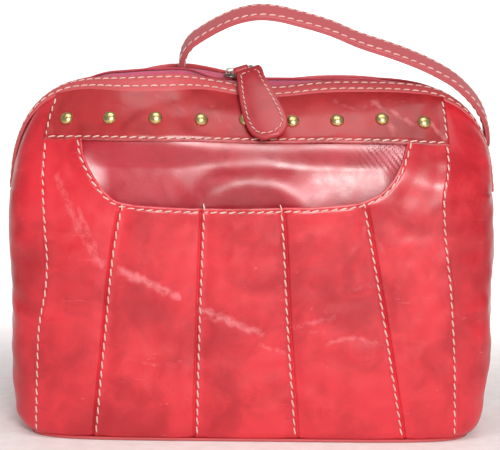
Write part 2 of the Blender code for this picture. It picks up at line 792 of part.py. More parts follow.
def make_strap(finish):
    """Handle from the open mouth over to the right shoulder, and its tucked end inside the bag."""
    upright = Vector((0.0, -math.sin(STRAP_LEAN), math.cos(STRAP_LEAN)))
    broad = Vector((0.0, math.cos(STRAP_LEAN), math.sin(STRAP_LEAN)))
    knots = []
    for x, height in STRAP_ARCH:
        share = (x - STRAP_LEFT.x) / (STRAP_RIGHT.x - STRAP_LEFT.x)
        knots.append(STRAP_LEFT.lerp(STRAP_RIGHT, share) + height * upright)
    path = smooth_route(knots, 3)
    normals = []
    for i in range(len(path)):
        forward = (path[min(i + 1, len(path) - 1)] - path[max(i - 1, 0)]).normalized()
        normals.append(forward.cross(broad).normalized())
    strap = ribbon("handle_strap", path, normals, broad, STRAP_THICK, True)
    add_piece("handle_strap", strap, finish, "strap_pivot")
    broad = Vector((0.0, 1.0, 0.0))
    path = smooth_route([Vector((x, 0.0, z)) for x, z in TUCK_ROUTE], 3)
    normals = []
    for i in range(len(path)):
        forward = (path[min(i + 1, len(path) - 1)] - path[max(i - 1, 0)]).normalized()
        normals.append(forward.cross(broad).normalized())
    tuck = ribbon("handle_strap_tucked_end", path, normals, broad, STRAP_THICK)
    add_piece("handle_strap_tucked_end", tuck, finish)


def main():
    for old in list(bpy.data.objects):
        bpy.data.objects.remove(old, do_unlink=True)
    red = material("red_leather", RED, 0.28)
    deep = material("band_leather", DEEP_RED, 0.32)
    wine = material("facing_leather", WINE, 0.18)
    strap = material("strap_leather", DEEP_RED, 0.40)
    binding = material("binding_leather", RED, 0.35)
    lining = material("lining_cloth", PINK, 0.90)
    tape = material("zip_tape", PINK, 0.85)
    coil = material("zip_coil", DEEP_RED, 0.45)
    brass = material("stud_brass", BRASS, 0.22, 1.0)
    metal = material("slider_metal", OLD_METAL, 0.42, 1.0)
    board = material("base_board", BOARD_GREY, 0.85)

    across, front, _ = link_axes()
    eye = Vector((SLIDER_X, 0.0, COIL_Z + BRIDGE_EYE_RISE))
    tab_hinge = eye + 0.5 * LINK_WIDTH * across + LINK_FRONT * front
    pivot("front_mouth_pivot", Vector((0.0, -skin_depth(0.0, HINGE_Z), HINGE_Z)))
    pivot("slider_pivot", Vector((SLIDER_X, 0.0, COIL_Z)), "front_mouth_pivot")
    pivot("link_pivot", eye, "slider_pivot")
    pivot("tab_pivot", tab_hinge, "link_pivot")
    pivot("strap_pivot", STRAP_LEFT.copy())

    make_gores(red)
    make_pocket_back(wine, lining)
    band = make_band("stud_band", -1, deep, "front_mouth_pivot")
    make_studs(band, brass)
    make_band("back_band", 1, deep)
    make_band_lining("front_band_lining", -1, lining, "front_mouth_pivot")
    make_band_lining("back_band_lining", 1, lining)
    make_gusset("gusset_left", -1, red)
    make_gusset("gusset_right", 1, red)
    make_back_panel(red)
    make_base(red, board, lining)
    make_lining_wall(lining)
    make_binding_top("front_binding", -1, binding, "front_mouth_pivot")
    make_binding_top("back_binding", 1, binding)
    make_zip_top("front", -1, tape, coil, "front_mouth_pivot")
    make_zip_top("back", 1, tape, coil)
    for end_name, end in (("left", -1), ("right", 1)):
        for side_name, side in (("front", -1), ("back", 1)):
            make_binding_shoulder(f"{side_name}_binding_{end_name}_shoulder", end, side, binding)
            make_zip_shoulder(f"zip_{side_name}_{end_name}_shoulder", end, side, tape)
    make_slider(metal)
    make_link(metal, eye)
    make_pull_tab(deep, tab_hinge)
    make_strap(strap)


main()
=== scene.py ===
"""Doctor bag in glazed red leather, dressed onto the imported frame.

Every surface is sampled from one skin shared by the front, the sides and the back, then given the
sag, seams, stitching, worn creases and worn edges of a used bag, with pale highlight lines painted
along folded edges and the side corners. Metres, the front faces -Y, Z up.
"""
import logging
import math
from dataclasses import dataclass
from enum import Enum
from typing import Callable, Sequence

import bpy
import numpy as np
from mathutils import Matrix, Vector


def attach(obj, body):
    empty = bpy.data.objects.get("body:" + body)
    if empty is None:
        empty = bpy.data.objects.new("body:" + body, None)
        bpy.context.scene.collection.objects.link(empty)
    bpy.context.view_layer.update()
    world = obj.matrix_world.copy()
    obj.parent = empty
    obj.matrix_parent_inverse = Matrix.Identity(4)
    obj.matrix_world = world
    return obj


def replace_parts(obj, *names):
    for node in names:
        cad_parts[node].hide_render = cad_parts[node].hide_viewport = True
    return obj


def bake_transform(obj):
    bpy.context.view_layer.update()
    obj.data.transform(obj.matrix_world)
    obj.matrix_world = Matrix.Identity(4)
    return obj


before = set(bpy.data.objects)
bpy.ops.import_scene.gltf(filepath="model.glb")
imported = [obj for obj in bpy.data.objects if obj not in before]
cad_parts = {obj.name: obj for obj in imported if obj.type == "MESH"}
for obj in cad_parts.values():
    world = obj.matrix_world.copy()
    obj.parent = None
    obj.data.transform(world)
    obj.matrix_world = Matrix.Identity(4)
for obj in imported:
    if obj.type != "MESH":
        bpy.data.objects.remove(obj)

LOG = logging.getLogger("doctor_bag")
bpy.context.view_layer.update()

Array = np.ndarray


class Side(Enum):
    """Left and right end of the bag."""

    LEFT = -1
    RIGHT = 1


class Face(Enum):
    """Front and back of the bag, as the sign of y."""

    FRONT = -1
    BACK = 1


def smooth(value: Array | float) -> Array:
    """Smooth step from 0 to 1."""
    clipped = np.clip(value, 0.0, 1.0)
    return clipped * clipped * (3.0 - 2.0 * clipped)


def through(knots: Sequence[tuple[float, float]], places: Array | float) -> Array:
    """Smooth curve through knots, read at places along the first coordinate.

    Args:
        knots: (place, value) pairs in rising order of place.
        places: where the curve is read.

    Returns:
        The values there.
    """
    table = np.array(knots, float)
    at, value = table[:, 0], table[:, 1]
    slope = np.gradient(value, at)
    wanted = np.clip(np.asarray(places, float), at[0], at[-1])
    left = np.clip(np.searchsorted(at, wanted, side="right") - 1, 0, len(at) - 2)
    span = at[left + 1] - at[left]
    t = (wanted - at[left]) / span
    h0, h1 = 2 * t**3 - 3 * t**2 + 1, t**3 - 2 * t**2 + t
    h2, h3 = -2 * t**3 + 3 * t**2, t**3 - t**2
    return h0 * value[left] + h1 * span * slope[left] + h2 * value[left + 1] + h3 * span * slope[left + 1]


def even_path(points: Array, count: int) -> Array:
    """Points spaced evenly along a polyline.

    Args:
        points: the polyline, one point to a row.
        count: how many points to return.

    Returns:
        The evenly spaced points, both ends included.
    """
    steps = np.linalg.norm(np.diff(points, axis=0), axis=1)
    run = np.concatenate([[0.0], np.cumsum(steps)])
    at = np.linspace(0.0, run[-1], count)
    return np.stack([np.interp(at, run, points[:, axis]) for axis in range(points.shape[1])], axis=1)


def path_length(points: Array) -> float:
    """Length of a polyline."""
    return float(np.linalg.norm(np.diff(points, axis=0), axis=1).sum())


def rounded_curve(knots: Sequence[Sequence[float]], steps: int = 12) -> Array:
    """Curve through knots of any number of coordinates, spaced by their distances."""
    table = np.array(knots, float)
    run = np.concatenate([[0.0], np.cumsum(np.linalg.norm(np.diff(table, axis=0), axis=1))])
    at = np.linspace(0.0, run[-1], steps * len(table))
    columns = [through(list(zip(run, table[:, axis])), at) for axis in range(table.shape[1])]
    return np.stack(columns, axis=1)


def distance_to(points: Array, line: Array) -> Array:
    """Distance of each point from a polyline, in as many coordinates as both have."""
    best = np.full(len(points), 1e9)
    for start, end in zip(line[:-1], line[1:]):
        along = end - start
        share = np.clip(((points - start) @ along) / max(along @ along, 1e-12), 0.0, 1.0)
        best = np.minimum(best, np.linalg.norm(points - (start + share[:, None] * along), axis=1))
    return best


def bell(away: Array, width: float) -> Array:
    """Bell curve that is 1 on a line and falls away over a width."""
    return np.exp(-((away / width) ** 2))


def squarish(turn: Array, power: float = 6.0) -> tuple[Array, Array]:
    """Rounded square of half size 1 at polar angles, as x and y."""
    c, s = np.cos(turn), np.sin(turn)
    reach = 1.0 / (np.abs(c) ** power + np.abs(s) ** power) ** (1.0 / power)
    return reach * c, reach * s


@dataclass(frozen=True)
class Waves:
    """A smooth seeded field of gentle bumps, from -1 to 1."""

    length: float
    seed: int
    count: int = 14

    def at(self, x: Array, z: Array) -> Array:
        """Value of the field at each (x, z)."""
        rng = np.random.default_rng(self.seed)
        total = np.zeros(np.broadcast(x, z).shape)
        for _ in range(self.count):
            turn, phase = rng.uniform(0.0, 2.0 * math.pi, 2)
            pitch = 2.0 * math.pi / (self.length * rng.uniform(0.7, 1.6))
            total += np.cos(pitch * (x * math.cos(turn) + z * math.sin(turn)) + phase)
        return total / math.sqrt(2.0 * self.count)


@dataclass(frozen=True)
class BagSkin:
    """The bag's outer surface: a dome on a squarish body that closes to the mouth."""

    half_width: float = 0.150
    half_depth: float = 0.0575
    top: float = 0.228
    dome_start: float = 0.140
    dome_power: float = 2.4
    shoulder_start: float = 0.170
    shoulder_x: float = 0.095
    corner_radius: float = 0.016
    foot_radius: float = 0.006
    right_settle: float = 0.0022
    mouth: float = 0.014
    mouth_spread: float = 0.014
    spread_start: float = -0.0183
    spread_ramp: float = 0.036
    seam: float = 0.1241
    foot_z: float = 0.0021
    zip_end_z: float = 0.155
    side_puff: float = 0.0034
    side_reach: float = 0.140      # |x| whose settling a whole side takes

    def mouth_half(self, x: Array | float) -> Array:
        """Half the distance between the two bound edges at x."""
        opened = smooth((self.spread_start - np.asarray(x, float)) / self.spread_ramp)
        return self.mouth + self.mouth_spread * opened * smooth((self.seam + np.asarray(x)) / 0.050)

    def settled(self, x: Array | float, z: Array | float) -> Array:
        """Height on the unsettled skin that a point comes from."""
        dip = 0.003 * np.exp(-((np.asarray(x, float) - 0.013) / 0.025) ** 2)
        drop = self.right_settle * smooth((np.asarray(x, float) + 0.045) / 0.050) + dip
        return z + drop * smooth((np.asarray(z, float) - 0.150) / 0.070)

    def width_at(self, z: Array | float) -> Array:
        """Half the silhouette's width at height z."""
        z = np.asarray(z, float)
        foot = np.clip(self.corner_radius - z, 0.0, self.corner_radius)
        low = self.corner_radius - np.sqrt(np.maximum(self.corner_radius**2 - foot**2, 0.0))
        rise = np.clip((z - self.shoulder_start) / (self.top - self.shoulder_start), 0.0, 1.0)
        arc = (self.half_width - self.shoulder_x) * (1.0 - np.sqrt(1.0 - rise**2))
        puff = self.side_puff * smooth(z / 0.05) * smooth((0.190 - z) / 0.050)
        return self.half_width - low - arc + puff

    def depth_at(self, x: Array | float, z: Array | float) -> Array:
        """Half the bag's depth on its centre line at height z."""
        z = np.asarray(z, float)
        foot = np.clip(self.foot_radius - z, 0.0, self.foot_radius)
        low = self.foot_radius - np.sqrt(np.maximum(self.foot_radius**2 - foot**2, 0.0))
        rise = np.maximum((z - self.dome_start) / (self.top - self.dome_start), 0.0)
        edge = self.mouth_half(x)
        return edge + (self.half_depth - edge) * (1.0 - rise**self.dome_power) - low

    def power_at(self, z: Array | float) -> Array:
        """Exponent of the horizontal section: higher is squarer."""
        return 6.0 - 1.5 * smooth((np.asarray(z, float) - 0.150) / 0.050)

    def depth(self, x: Array | float, z: Array | float, inset: Array | float = 0.0) -> Array:
        """Distance of the skin from the bag's middle plane."""
        raised = self.settled(x, z)
        power = self.power_at(raised)
        across = np.minimum(np.abs(x) / (self.width_at(raised) - inset), 1.0)
        body = np.maximum(self.depth_at(x, raised) - inset, 0.0)
        layer = body * (1.0 - across**power) ** (1.0 / power)
        if np.all(np.asarray(inset) <= 0.0):
            return layer
        plain = np.minimum(np.abs(x) / self.width_at(raised), 1.0)
        whole = self.depth_at(x, raised) * (1.0 - plain**power) ** (1.0 / power)
        return np.maximum(layer, whole - 1.6 * inset)

    def edge_height(self, x: Array, depth: Array | float, inset: Array | float = 0.0) -> Array:
        """Height at which the skin comes in to the given distance from the middle plane."""
        low = np.full(np.shape(x), self.dome_start)
        high = np.full(np.shape(x), self.top + 0.012)
        for _ in range(34):
            middle = 0.5 * (low + high)
            outside = self.depth(x, middle, inset) > depth
            low, high = np.where(outside, middle, low), np.where(outside, high, middle)
        return low

    def side_x(self, side: Side, z: Array, depth: Array | float, inset: Array | float = 0.0) -> Array:
        """x of the skin of a side where it is this far from the middle plane."""
        at = side.value * self.side_reach
        raised = self.settled(at, z)
        power = self.power_at(raised)
        share = np.minimum(np.abs(depth) / (self.depth_at(at, raised) - inset), 0.9999)
        return side.value * (self.width_at(raised) - inset) * (1.0 - share**power) ** (1.0 / power)

    def wrap(self, side: Side, z: Array, angle: Array, inset: Array | float = 0.0) -> Array:
        """Points on the wrapped skin of a side, at polar angles from straight out sideways."""
        at = side.value * self.side_reach
        raised = self.settled(at, z)
        power = self.power_at(raised)
        c, s = np.abs(np.cos(angle)), np.abs(np.sin(angle))
        reach = 1.0 / (c**power + s**power) ** (1.0 / power)
        x = side.value * (self.width_at(raised) - inset) * reach * c
        y = (self.depth_at(at, raised) - inset) * reach * s * np.sign(angle)
        return np.stack([x, y, z * np.ones_like(x)], axis=-1)

    def angle_of(self, side: Side, z: Array, x: Array | None = None, depth: Array | float = 0.0) -> Array:
        """Polar angle at which the wrapped skin passes |x|, or a distance from the middle plane."""
        at = side.value * self.side_reach
        raised = self.settled(at, z)
        power = self.power_at(raised)
        if x is not None:
            u = np.minimum(np.abs(x) / self.width_at(raised), 0.9999)
            return np.arctan2((1.0 - u**power) ** (1.0 / power), u)
        v = np.minimum(np.abs(depth) / self.depth_at(at, raised), 0.9999)
        return np.arctan2(v, (1.0 - v**power) ** (1.0 / power))


SKIN = BagSkin()

# Stitch lines of the front as (height, x) or (x, height), as the leather has settled.
LEFT_SEAM = ((0.0021, -0.1342), (0.0434, -0.1328), (0.0748, -0.1308), (0.0930, -0.1272), (0.1105, -0.1257),
             (0.1354, -0.1271), (0.1691, -0.1284), (0.1871, -0.1277), (0.2002, -0.1263), (0.2123, -0.1232),
             (0.2260, -0.1190))
RIGHT_SEAM = ((0.0021, 0.1290), (0.0572, 0.1272), (0.0940, 0.1242), (0.1379, 0.1192), (0.1564, 0.1187),
              (0.1714, 0.1213), (0.1892, 0.1207), (0.2112, 0.1196), (0.2260, 0.1180))
FANS = (
    ((0.0021, -0.0962), (0.0604, -0.0906), (0.1363, -0.0816), (0.1506, -0.0785)),
    ((0.0021, -0.0327), (0.0629, -0.0315), (0.1474, -0.0288), (0.1510, -0.0287)),
    ((0.0021, 0.0289), (0.0698, 0.0236), (0.1490, 0.0184), (0.1510, 0.0182)),
    ((0.0021, 0.0960), (0.0892, 0.0809), (0.1519, 0.0692), (0.1530, 0.0690)),
)
HINGE_LINE = ((-0.1279, 0.1888), (-0.0935, 0.1897), (-0.0500, 0.1893), (-0.0010, 0.1886), (0.0607, 0.1891),
              (0.0950, 0.1884), (0.1207, 0.1872))
LIP_LINE = ((-0.1073, 0.1880), (-0.1056, 0.1787), (-0.1015, 0.1697), (-0.0958, 0.1608), (-0.0896, 0.1535),
            (-0.0834, 0.1490), (-0.0740, 0.1468), (-0.0619, 0.1457), (-0.0282, 0.1446), (0.0209, 0.1456),
            (0.0485, 0.1468), (0.0699, 0.1500), (0.0821, 0.1563), (0.0882, 0.1629), (0.0931, 0.1714),
            (0.0963, 0.1804), (0.0988, 0.1880))
SEAM_LAP = 0.0019          # how far a panel's cut edge lies beyond its stitches
LIP_FOLD = 0.0024          # from the lip's stitches to its folded edge
EDGE_TUCK = 0.0011         # how deep a cut edge dips to the panel under it
EDGE_ROUND = 0.0005        # how near the edge that dip begins
STITCH_DENT = 0.00035      # how deep a row of stitches pulls the leather in
DENT_WIDTH = 0.0007


def seam_x(side: Side, z: Array | float) -> Array:
    """x of a vertical seam's stitches at height z."""
    return through(LEFT_SEAM if side is Side.LEFT else RIGHT_SEAM, z)


def edge_seam_x(side: Side, z: Array | float) -> Array:
    """x of the front panel's cut edge, just beyond its stitches."""
    return seam_x(side, z) + side.value * SEAM_LAP


def hinge_height(x: Array | float) -> Array:
    """Height of the stitches between the band and the pocket."""
    return through(HINGE_LINE, x)


@dataclass(frozen=True)
class Crease:
    """A worn crease as a line of (x, height) with its width and how hard it is pressed in."""

    line: tuple[tuple[float, float], ...]
    width: float
    press: float


CREASES = (
    Crease(((-0.080, 0.108), (-0.070, 0.104), (-0.058, 0.098), (-0.045, 0.092)), 0.0045, 1.0),
    Crease(((-0.076, 0.103), (-0.064, 0.100), (-0.052, 0.094)), 0.0025, 0.7),
    Crease(((-0.030, 0.084), (-0.018, 0.080), (-0.006, 0.074), (0.008, 0.070)), 0.0040, 1.0),
    Crease(((-0.028, 0.079), (-0.012, 0.075), (0.000, 0.070)), 0.0024, 0.6),
    Crease(((0.026, 0.073), (0.040, 0.077), (0.052, 0.080)), 0.0030, 0.6),
    Crease(((0.030, 0.070), (0.046, 0.071)), 0.0022, 0.4),
    Crease(((0.062, 0.096), (0.072, 0.100), (0.084, 0.099)), 0.0026, 0.6),
    Crease(((0.048, 0.063), (0.062, 0.067), (0.084, 0.062)), 0.0028, 0.6),
    Crease(((-0.119, 0.165), (-0.108, 0.140), (-0.100, 0.124), (-0.092, 0.112)), 0.0050, 0.7),
    Crease(((-0.106, 0.146), (-0.100, 0.134), (-0.094, 0.118)), 0.0026, 0.6),
    Crease(((-0.074, 0.052), (-0.060, 0.049), (-0.044, 0.050)), 0.0024, 0.35),
    Crease(((0.006, 0.062), (0.018, 0.058), (0.024, 0.056)), 0.0024, 0.6),
    Crease(((0.076, 0.214), (0.083, 0.205), (0.088, 0.193)), 0.0030, 0.9),
    Crease(((0.086, 0.207), (0.098, 0.199), (0.112, 0.197), (0.119, 0.190)), 0.0026, 0.8),
    Crease(((0.052, 0.213), (0.066, 0.208), (0.078, 0.212)), 0.0022, 0.6),
    Crease(((-0.060, 0.216), (-0.046, 0.210), (-0.040, 0.204)), 0.0020, 0.45),
    Crease(((-0.026, 0.209), (-0.020, 0.200), (-0.010, 0.194)), 0.0020, 0.45),
    Crease(((0.070, 0.135), (0.078, 0.128), (0.083, 0.120)), 0.0030, 0.4),
    Crease(((-0.088, 0.210), (-0.078, 0.207)), 0.0020, 0.3),
)


@dataclass(frozen=True)
class Relief:
    """How the leather stands off the plain skin: sag, padding between seams, creases."""

    sag: float = 0.0009
    ripple: float = 0.00028
    crease_depth: float = 0.00026

    def seam_roll(self, x: Array, z: Array) -> Array:
        """Rise and groove beside the fanned seams of the front."""
        total = np.zeros(np.broadcast(x, z).shape)
        for number, knots in enumerate(FANS):
            outward = -1.0 if number < 2 else 1.0
            away = (x - through(knots, z)) * outward
            below = smooth((0.1505 - z) / 0.004)
            groove = -0.00085 * bell(away - SEAM_LAP, 0.0008)
            crown = 0.00055 * bell(away, 0.0016) * (away < SEAM_LAP)
            pillow = -0.0011 * bell(away, 0.0075)
            total += (groove + crown + pillow) * below
        return total

    def worn(self, x: Array, z: Array) -> Array:
        """How far the leather is creased and worn at each place, from 0 to 1."""
        flat = np.stack([np.ravel(x), np.ravel(z)], axis=1)
        total = np.zeros(len(flat))
        ragged = 0.0011 * Waves(0.0055, 19, 24).at(flat[:, 0], flat[:, 1])
        for crease in CREASES:
            away = distance_to(flat, rounded_curve(crease.line, 6)) + ragged
            total = np.maximum(total, crease.press * bell(away, 0.6 * crease.width))
        return total.reshape(np.shape(x))

    def front(self, x: Array, z: Array) -> Array:
        """Outward shift of the front's leather."""
        broad = self.sag * Waves(0.085, 3).at(x, z) * smooth((z - 0.004) / 0.030)
        fine = self.ripple * Waves(0.016, 5, 22).at(x, z) * smooth((z - 0.004) / 0.020)
        puckers = np.sin(z / 0.00098) * 0.00010
        near = np.exp(-(np.abs(np.abs(x) - 0.125) / 0.003))
        fold = self.worn(x, z)
        wrinkle = np.sin((x * 0.35 + z) / 0.00052 + 1.6 * Waves(0.02, 8).at(x, z))
        return (broad + fine + self.seam_roll(x, z) + puckers * near
                - self.crease_depth * fold * (0.5 + 0.5 * wrinkle))

    def plain(self, u: Array, v: Array, seed: int, amount: float = 1.0) -> Array:
        """Outward shift of a plain panel with coordinates (u, v)."""
        broad = self.sag * Waves(0.080, seed).at(u, v)
        return amount * (broad + self.ripple * Waves(0.017, seed + 1, 20).at(u, v))


RELIEF = Relief()

# How far the front edge of the mouth dips, and the back one stands up, as (x, height).
DROP_FRONT = ((-0.100, 0.0), (-0.0755, 0.0013), (-0.046, 0.0018), (-0.022, 0.0037), (-0.0087, 0.0044),
              (0.0135, 0.0036), (0.040, 0.0028), (0.075, 0.0021), (0.100, 0.0010), (0.119, 0.0))
RAISE_BACK = ((-0.105, 0.0), (-0.0755, 0.0016), (-0.056, 0.0033), (-0.040, 0.0035), (-0.025, 0.0024),
              (-0.0087, 0.0010), (0.010, 0.0), (0.020, 0.0))


def mouth_shift(x: Array, z: Array, face: Face) -> Array:
    """Height that the mouth's edge gains: the front one dips, the back one stands up where it is open."""
    knots = DROP_FRONT if face is Face.FRONT else RAISE_BACK
    amount = np.interp(x, [k[0] for k in knots], [k[1] for k in knots])
    return face.value * amount * smooth((z - 0.200) / 0.020)


def front_points(x: Array, z: Array, lift: Array | float = 0.0, face: Face = Face.FRONT) -> Array:
    """Points on the dressed front or back.

    Args:
        x: places across the bag.
        z: heights.
        lift: how far they stand off the dressed leather.
        face: which side of the bag.

    Returns:
        An array of points with one more axis than x.
    """
    x, z = np.broadcast_arrays(np.asarray(x, float), np.asarray(z, float))
    if face is Face.FRONT:
        shift = RELIEF.front(x, z)
    else:
        shift = RELIEF.plain(x, z, 41)
    calm = smooth((0.222 - z) / 0.012) * smooth((0.1335 - np.abs(x)) / 0.006)
    out = SKIN.depth(x, z) + shift * calm
    normal = front_normals(x, z, face)
    base = np.stack([x, face.value * out, z + mouth_shift(x, z, face)], axis=-1)
    return base + normal * np.asarray(lift, float)[..., None]


def front_normals(x: Array, z: Array, face: Face = Face.FRONT) -> Array:
    """Outward normals of the plain skin of the front or back."""
    step = 0.0008
    dx = (SKIN.depth(x + step, z) - SKIN.depth(x - step, z)) / (2 * step)
    dz = (SKIN.depth(x, z + step) - SKIN.depth(x, z - step)) / (2 * step)
    normal = np.stack([-dx, face.value * np.ones_like(dx), -dz], axis=-1)
    return normal / np.linalg.norm(normal, axis=-1, keepdims=True)


class MeshMaker:
    """Builds mesh objects from rows of points."""

    @staticmethod
    def add(name: str, points: Array, faces: list, wear: Array | None = None) -> bpy.types.Object:
        """Make an object from points and faces.

        Args:
            name: the piece's name.
            points: one point to a row.
            faces: lists of point numbers.
            wear: pale share of each point, from 0 to 1: worn creases and edges, and painted highlight lines.

        Returns:
            The new object, linked to the scene.
        """
        mesh = bpy.data.meshes.new(name)
        mesh.from_pydata([tuple(map(float, p)) for p in points], [], faces)
        mesh.validate()
        mesh.update()
        if wear is not None:
            pale_share = mesh.attributes.new("wear", "FLOAT", "POINT")
            pale_share.data.foreach_set("value", np.asarray(wear, np.float32).ravel())
        piece = bpy.data.objects.new(name, mesh)
        bpy.context.collection.objects.link(piece)
        mesh.shade_smooth()
        return piece

    @classmethod
    def grid(cls, name: str, rows: Array, wear: Array | None = None, closed: bool = False,
             rim: Array | None = None, turned: bool = False) -> bpy.types.Object:
        """Make a sheet of quads from a grid of points.

        Args:
            name: the piece's name.
            rows: points as (row, column, 3).
            wear: pale share as (row, column): worn creases and edges, and painted highlight lines.
            closed: join the last column to the first.
            rim: the same grid's inner layer, which makes a closed shell of it.
            turned: flip the faces.

        Returns:
            The new object.
        """
        high, wide = rows.shape[:2]
        last = wide if closed else wide - 1
        index = np.arange(high * wide).reshape(high, wide)
        faces = []
        for r in range(high - 1):
            for c in range(last):
                n = (c + 1) % wide
                faces.append([index[r, c], index[r, n], index[r + 1, n], index[r + 1, c]])
        points = rows.reshape(-1, 3)
        if rim is not None:
            base = high * wide
            faces += [[v + base for v in reversed(face)] for face in faces]
            ring = [(index[0, c], index[0, (c + 1) % wide]) for c in range(last)]
            ring += [(index[-1, (c + 1) % wide], index[-1, c]) for c in range(last)]
            if not closed:
                ring += [(index[r + 1, 0], index[r, 0]) for r in range(high - 1)]
                ring += [(index[r, -1], index[r + 1, -1]) for r in range(high - 1)]
            faces += [[b, a, a + base, b + base] for a, b in ring]
            points = np.concatenate([points, rim.reshape(-1, 3)])
            wear = None if wear is None else np.concatenate([np.ravel(wear), np.ravel(wear)])
        if turned:
            faces = [list(reversed(face)) for face in faces]
        return cls.add(name, points, [[int(v) for v in face] for face in faces], wear)

    @classmethod
    def loops(cls, name: str, rings: list[Array], wear: list[float] | None = None) -> bpy.types.Object:
        """Make one mesh of several closed bodies.

        Args:
            name: the piece's name.
            rings: for each body, its rings as (ring, point, 3); both ends are capped.
            wear: pale share of each body: worn edges and painted highlights.

        Returns:
            The new object.
        """
        points, faces, pale_share, base = [], [], [], 0
        for number, body in enumerate(rings):
            count, sides = body.shape[:2]
            points.append(body.reshape(-1, 3))
            for r in range(count - 1):
                for k in range(sides):
                    n = (k + 1) % sides
                    low, high = base + r * sides, base + (r + 1) * sides
                    faces.append([low + k, low + n, high + n, high + k])
            faces.append([base + k for k in reversed(range(sides))])
            faces.append([base + (count - 1) * sides + k for k in range(sides)])
            pale_share += [0.0 if wear is None else wear[number]] * (count * sides)
            base += count * sides
        return cls.add(name, np.concatenate(points), faces, np.array(pale_share))


def capsule(start: Array, end: Array, normal: Array, wide: float, high: float, sides: int = 6) -> Array:
    """Rings of a small rounded bar, such as one stitch, whose ends dip into the leather."""
    along = end - start
    along = along / max(np.linalg.norm(along), 1e-9)
    aside = np.cross(normal, along)
    aside /= max(np.linalg.norm(aside), 1e-9)
    rings = []
    for share, girth, sink in ((0.0, 0.35, -0.75), (0.08, 0.80, -0.20), (0.30, 1.0, 0.30), (0.70, 1.0, 0.30),
                               (0.92, 0.80, -0.20), (1.0, 0.35, -0.75)):
        centre = start + share * (end - start) + normal * (high * sink)
        turns = np.arange(sides) * 2.0 * math.pi / sides
        rings.append(centre + girth * (np.cos(turns)[:, None] * aside * wide
                                       + np.sin(turns)[:, None] * normal * high))
    return np.array(rings)


@dataclass(frozen=True)
class Stitching:
    """A row of heavy saddle-like stitches."""

    pitch: float = 0.0058
    thread: float = 0.00050
    gap: float = 0.20
    slant: float = 0.16

    def bodies(self, points: Array, normals: Array) -> list[Array]:
        """Stitches laid along a line.

        Args:
            points: the line on the leather.
            normals: outward normals at those points.

        Returns:
            The rings of each stitch.
        """
        count = max(2, round(path_length(points) / self.pitch))
        line = even_path(points, count + 1)
        steps = np.linspace(0.0, 1.0, len(points))
        wanted = np.linspace(0.0, 1.0, count + 1)
        facing = np.stack([np.interp(wanted, steps, normals[:, k]) for k in range(3)], axis=1)
        rng = np.random.default_rng(count)
        made = []
        for i in range(count):
            normal = facing[i] / np.linalg.norm(facing[i])
            along = line[i + 1] - line[i]
            aside = np.cross(normal, along)
            lean = self.slant * (0.8 + 0.4 * rng.random()) * 0.5
            start = line[i] + along * (0.5 * self.gap) - aside * lean
            end = line[i + 1] - along * (0.5 * self.gap) + aside * lean
            made.append(capsule(start, end, normal, self.thread * rng.uniform(0.9, 1.1), self.thread))
        return made


STITCH = Stitching()


def rounded_section(half_w: float, half_t: float, corner: float, steps: int = 4) -> Array:
    """Outline of a rounded bar's section as (across, through) pairs."""
    made = []
    for quarter, (sa, sb) in enumerate(((1, 1), (-1, 1), (-1, -1), (1, -1))):
        for step in range(steps + 1):
            turn = 0.5 * math.pi * (quarter + step / steps)
            made.append((sa * (half_w - corner) + corner * math.cos(turn),
                         sb * (half_t - corner) + corner * math.sin(turn)))
    return np.array(made)


def denser(outline: Array, parts: int) -> Array:
    """Cut the two flat faces of a four-cornered section into parts; its corners start each quarter."""
    quarter = len(outline) // 4
    made = []
    for i, (start, end) in enumerate(zip(outline, np.roll(outline, -1, axis=0))):
        flat = (i + 1) % quarter == 0 and ((i + 1) // quarter) % 2 == 1
        made += [start + (end - start) * k / parts for k in range(parts)] if flat else [start]
    return np.array(made)


def swept(path: Array, across: Array, out: Array, section: Callable[[float], Array]) -> Array:
    """Rings of a section carried along a path; section takes the share of the way along."""
    rings = []
    for i, centre in enumerate(path):
        outline = section(i / (len(path) - 1))
        rings.append(centre + outline[:, :1] * across[i] + outline[:, 1:2] * out[i])
    return np.array(rings)


# ---- Finishes ----

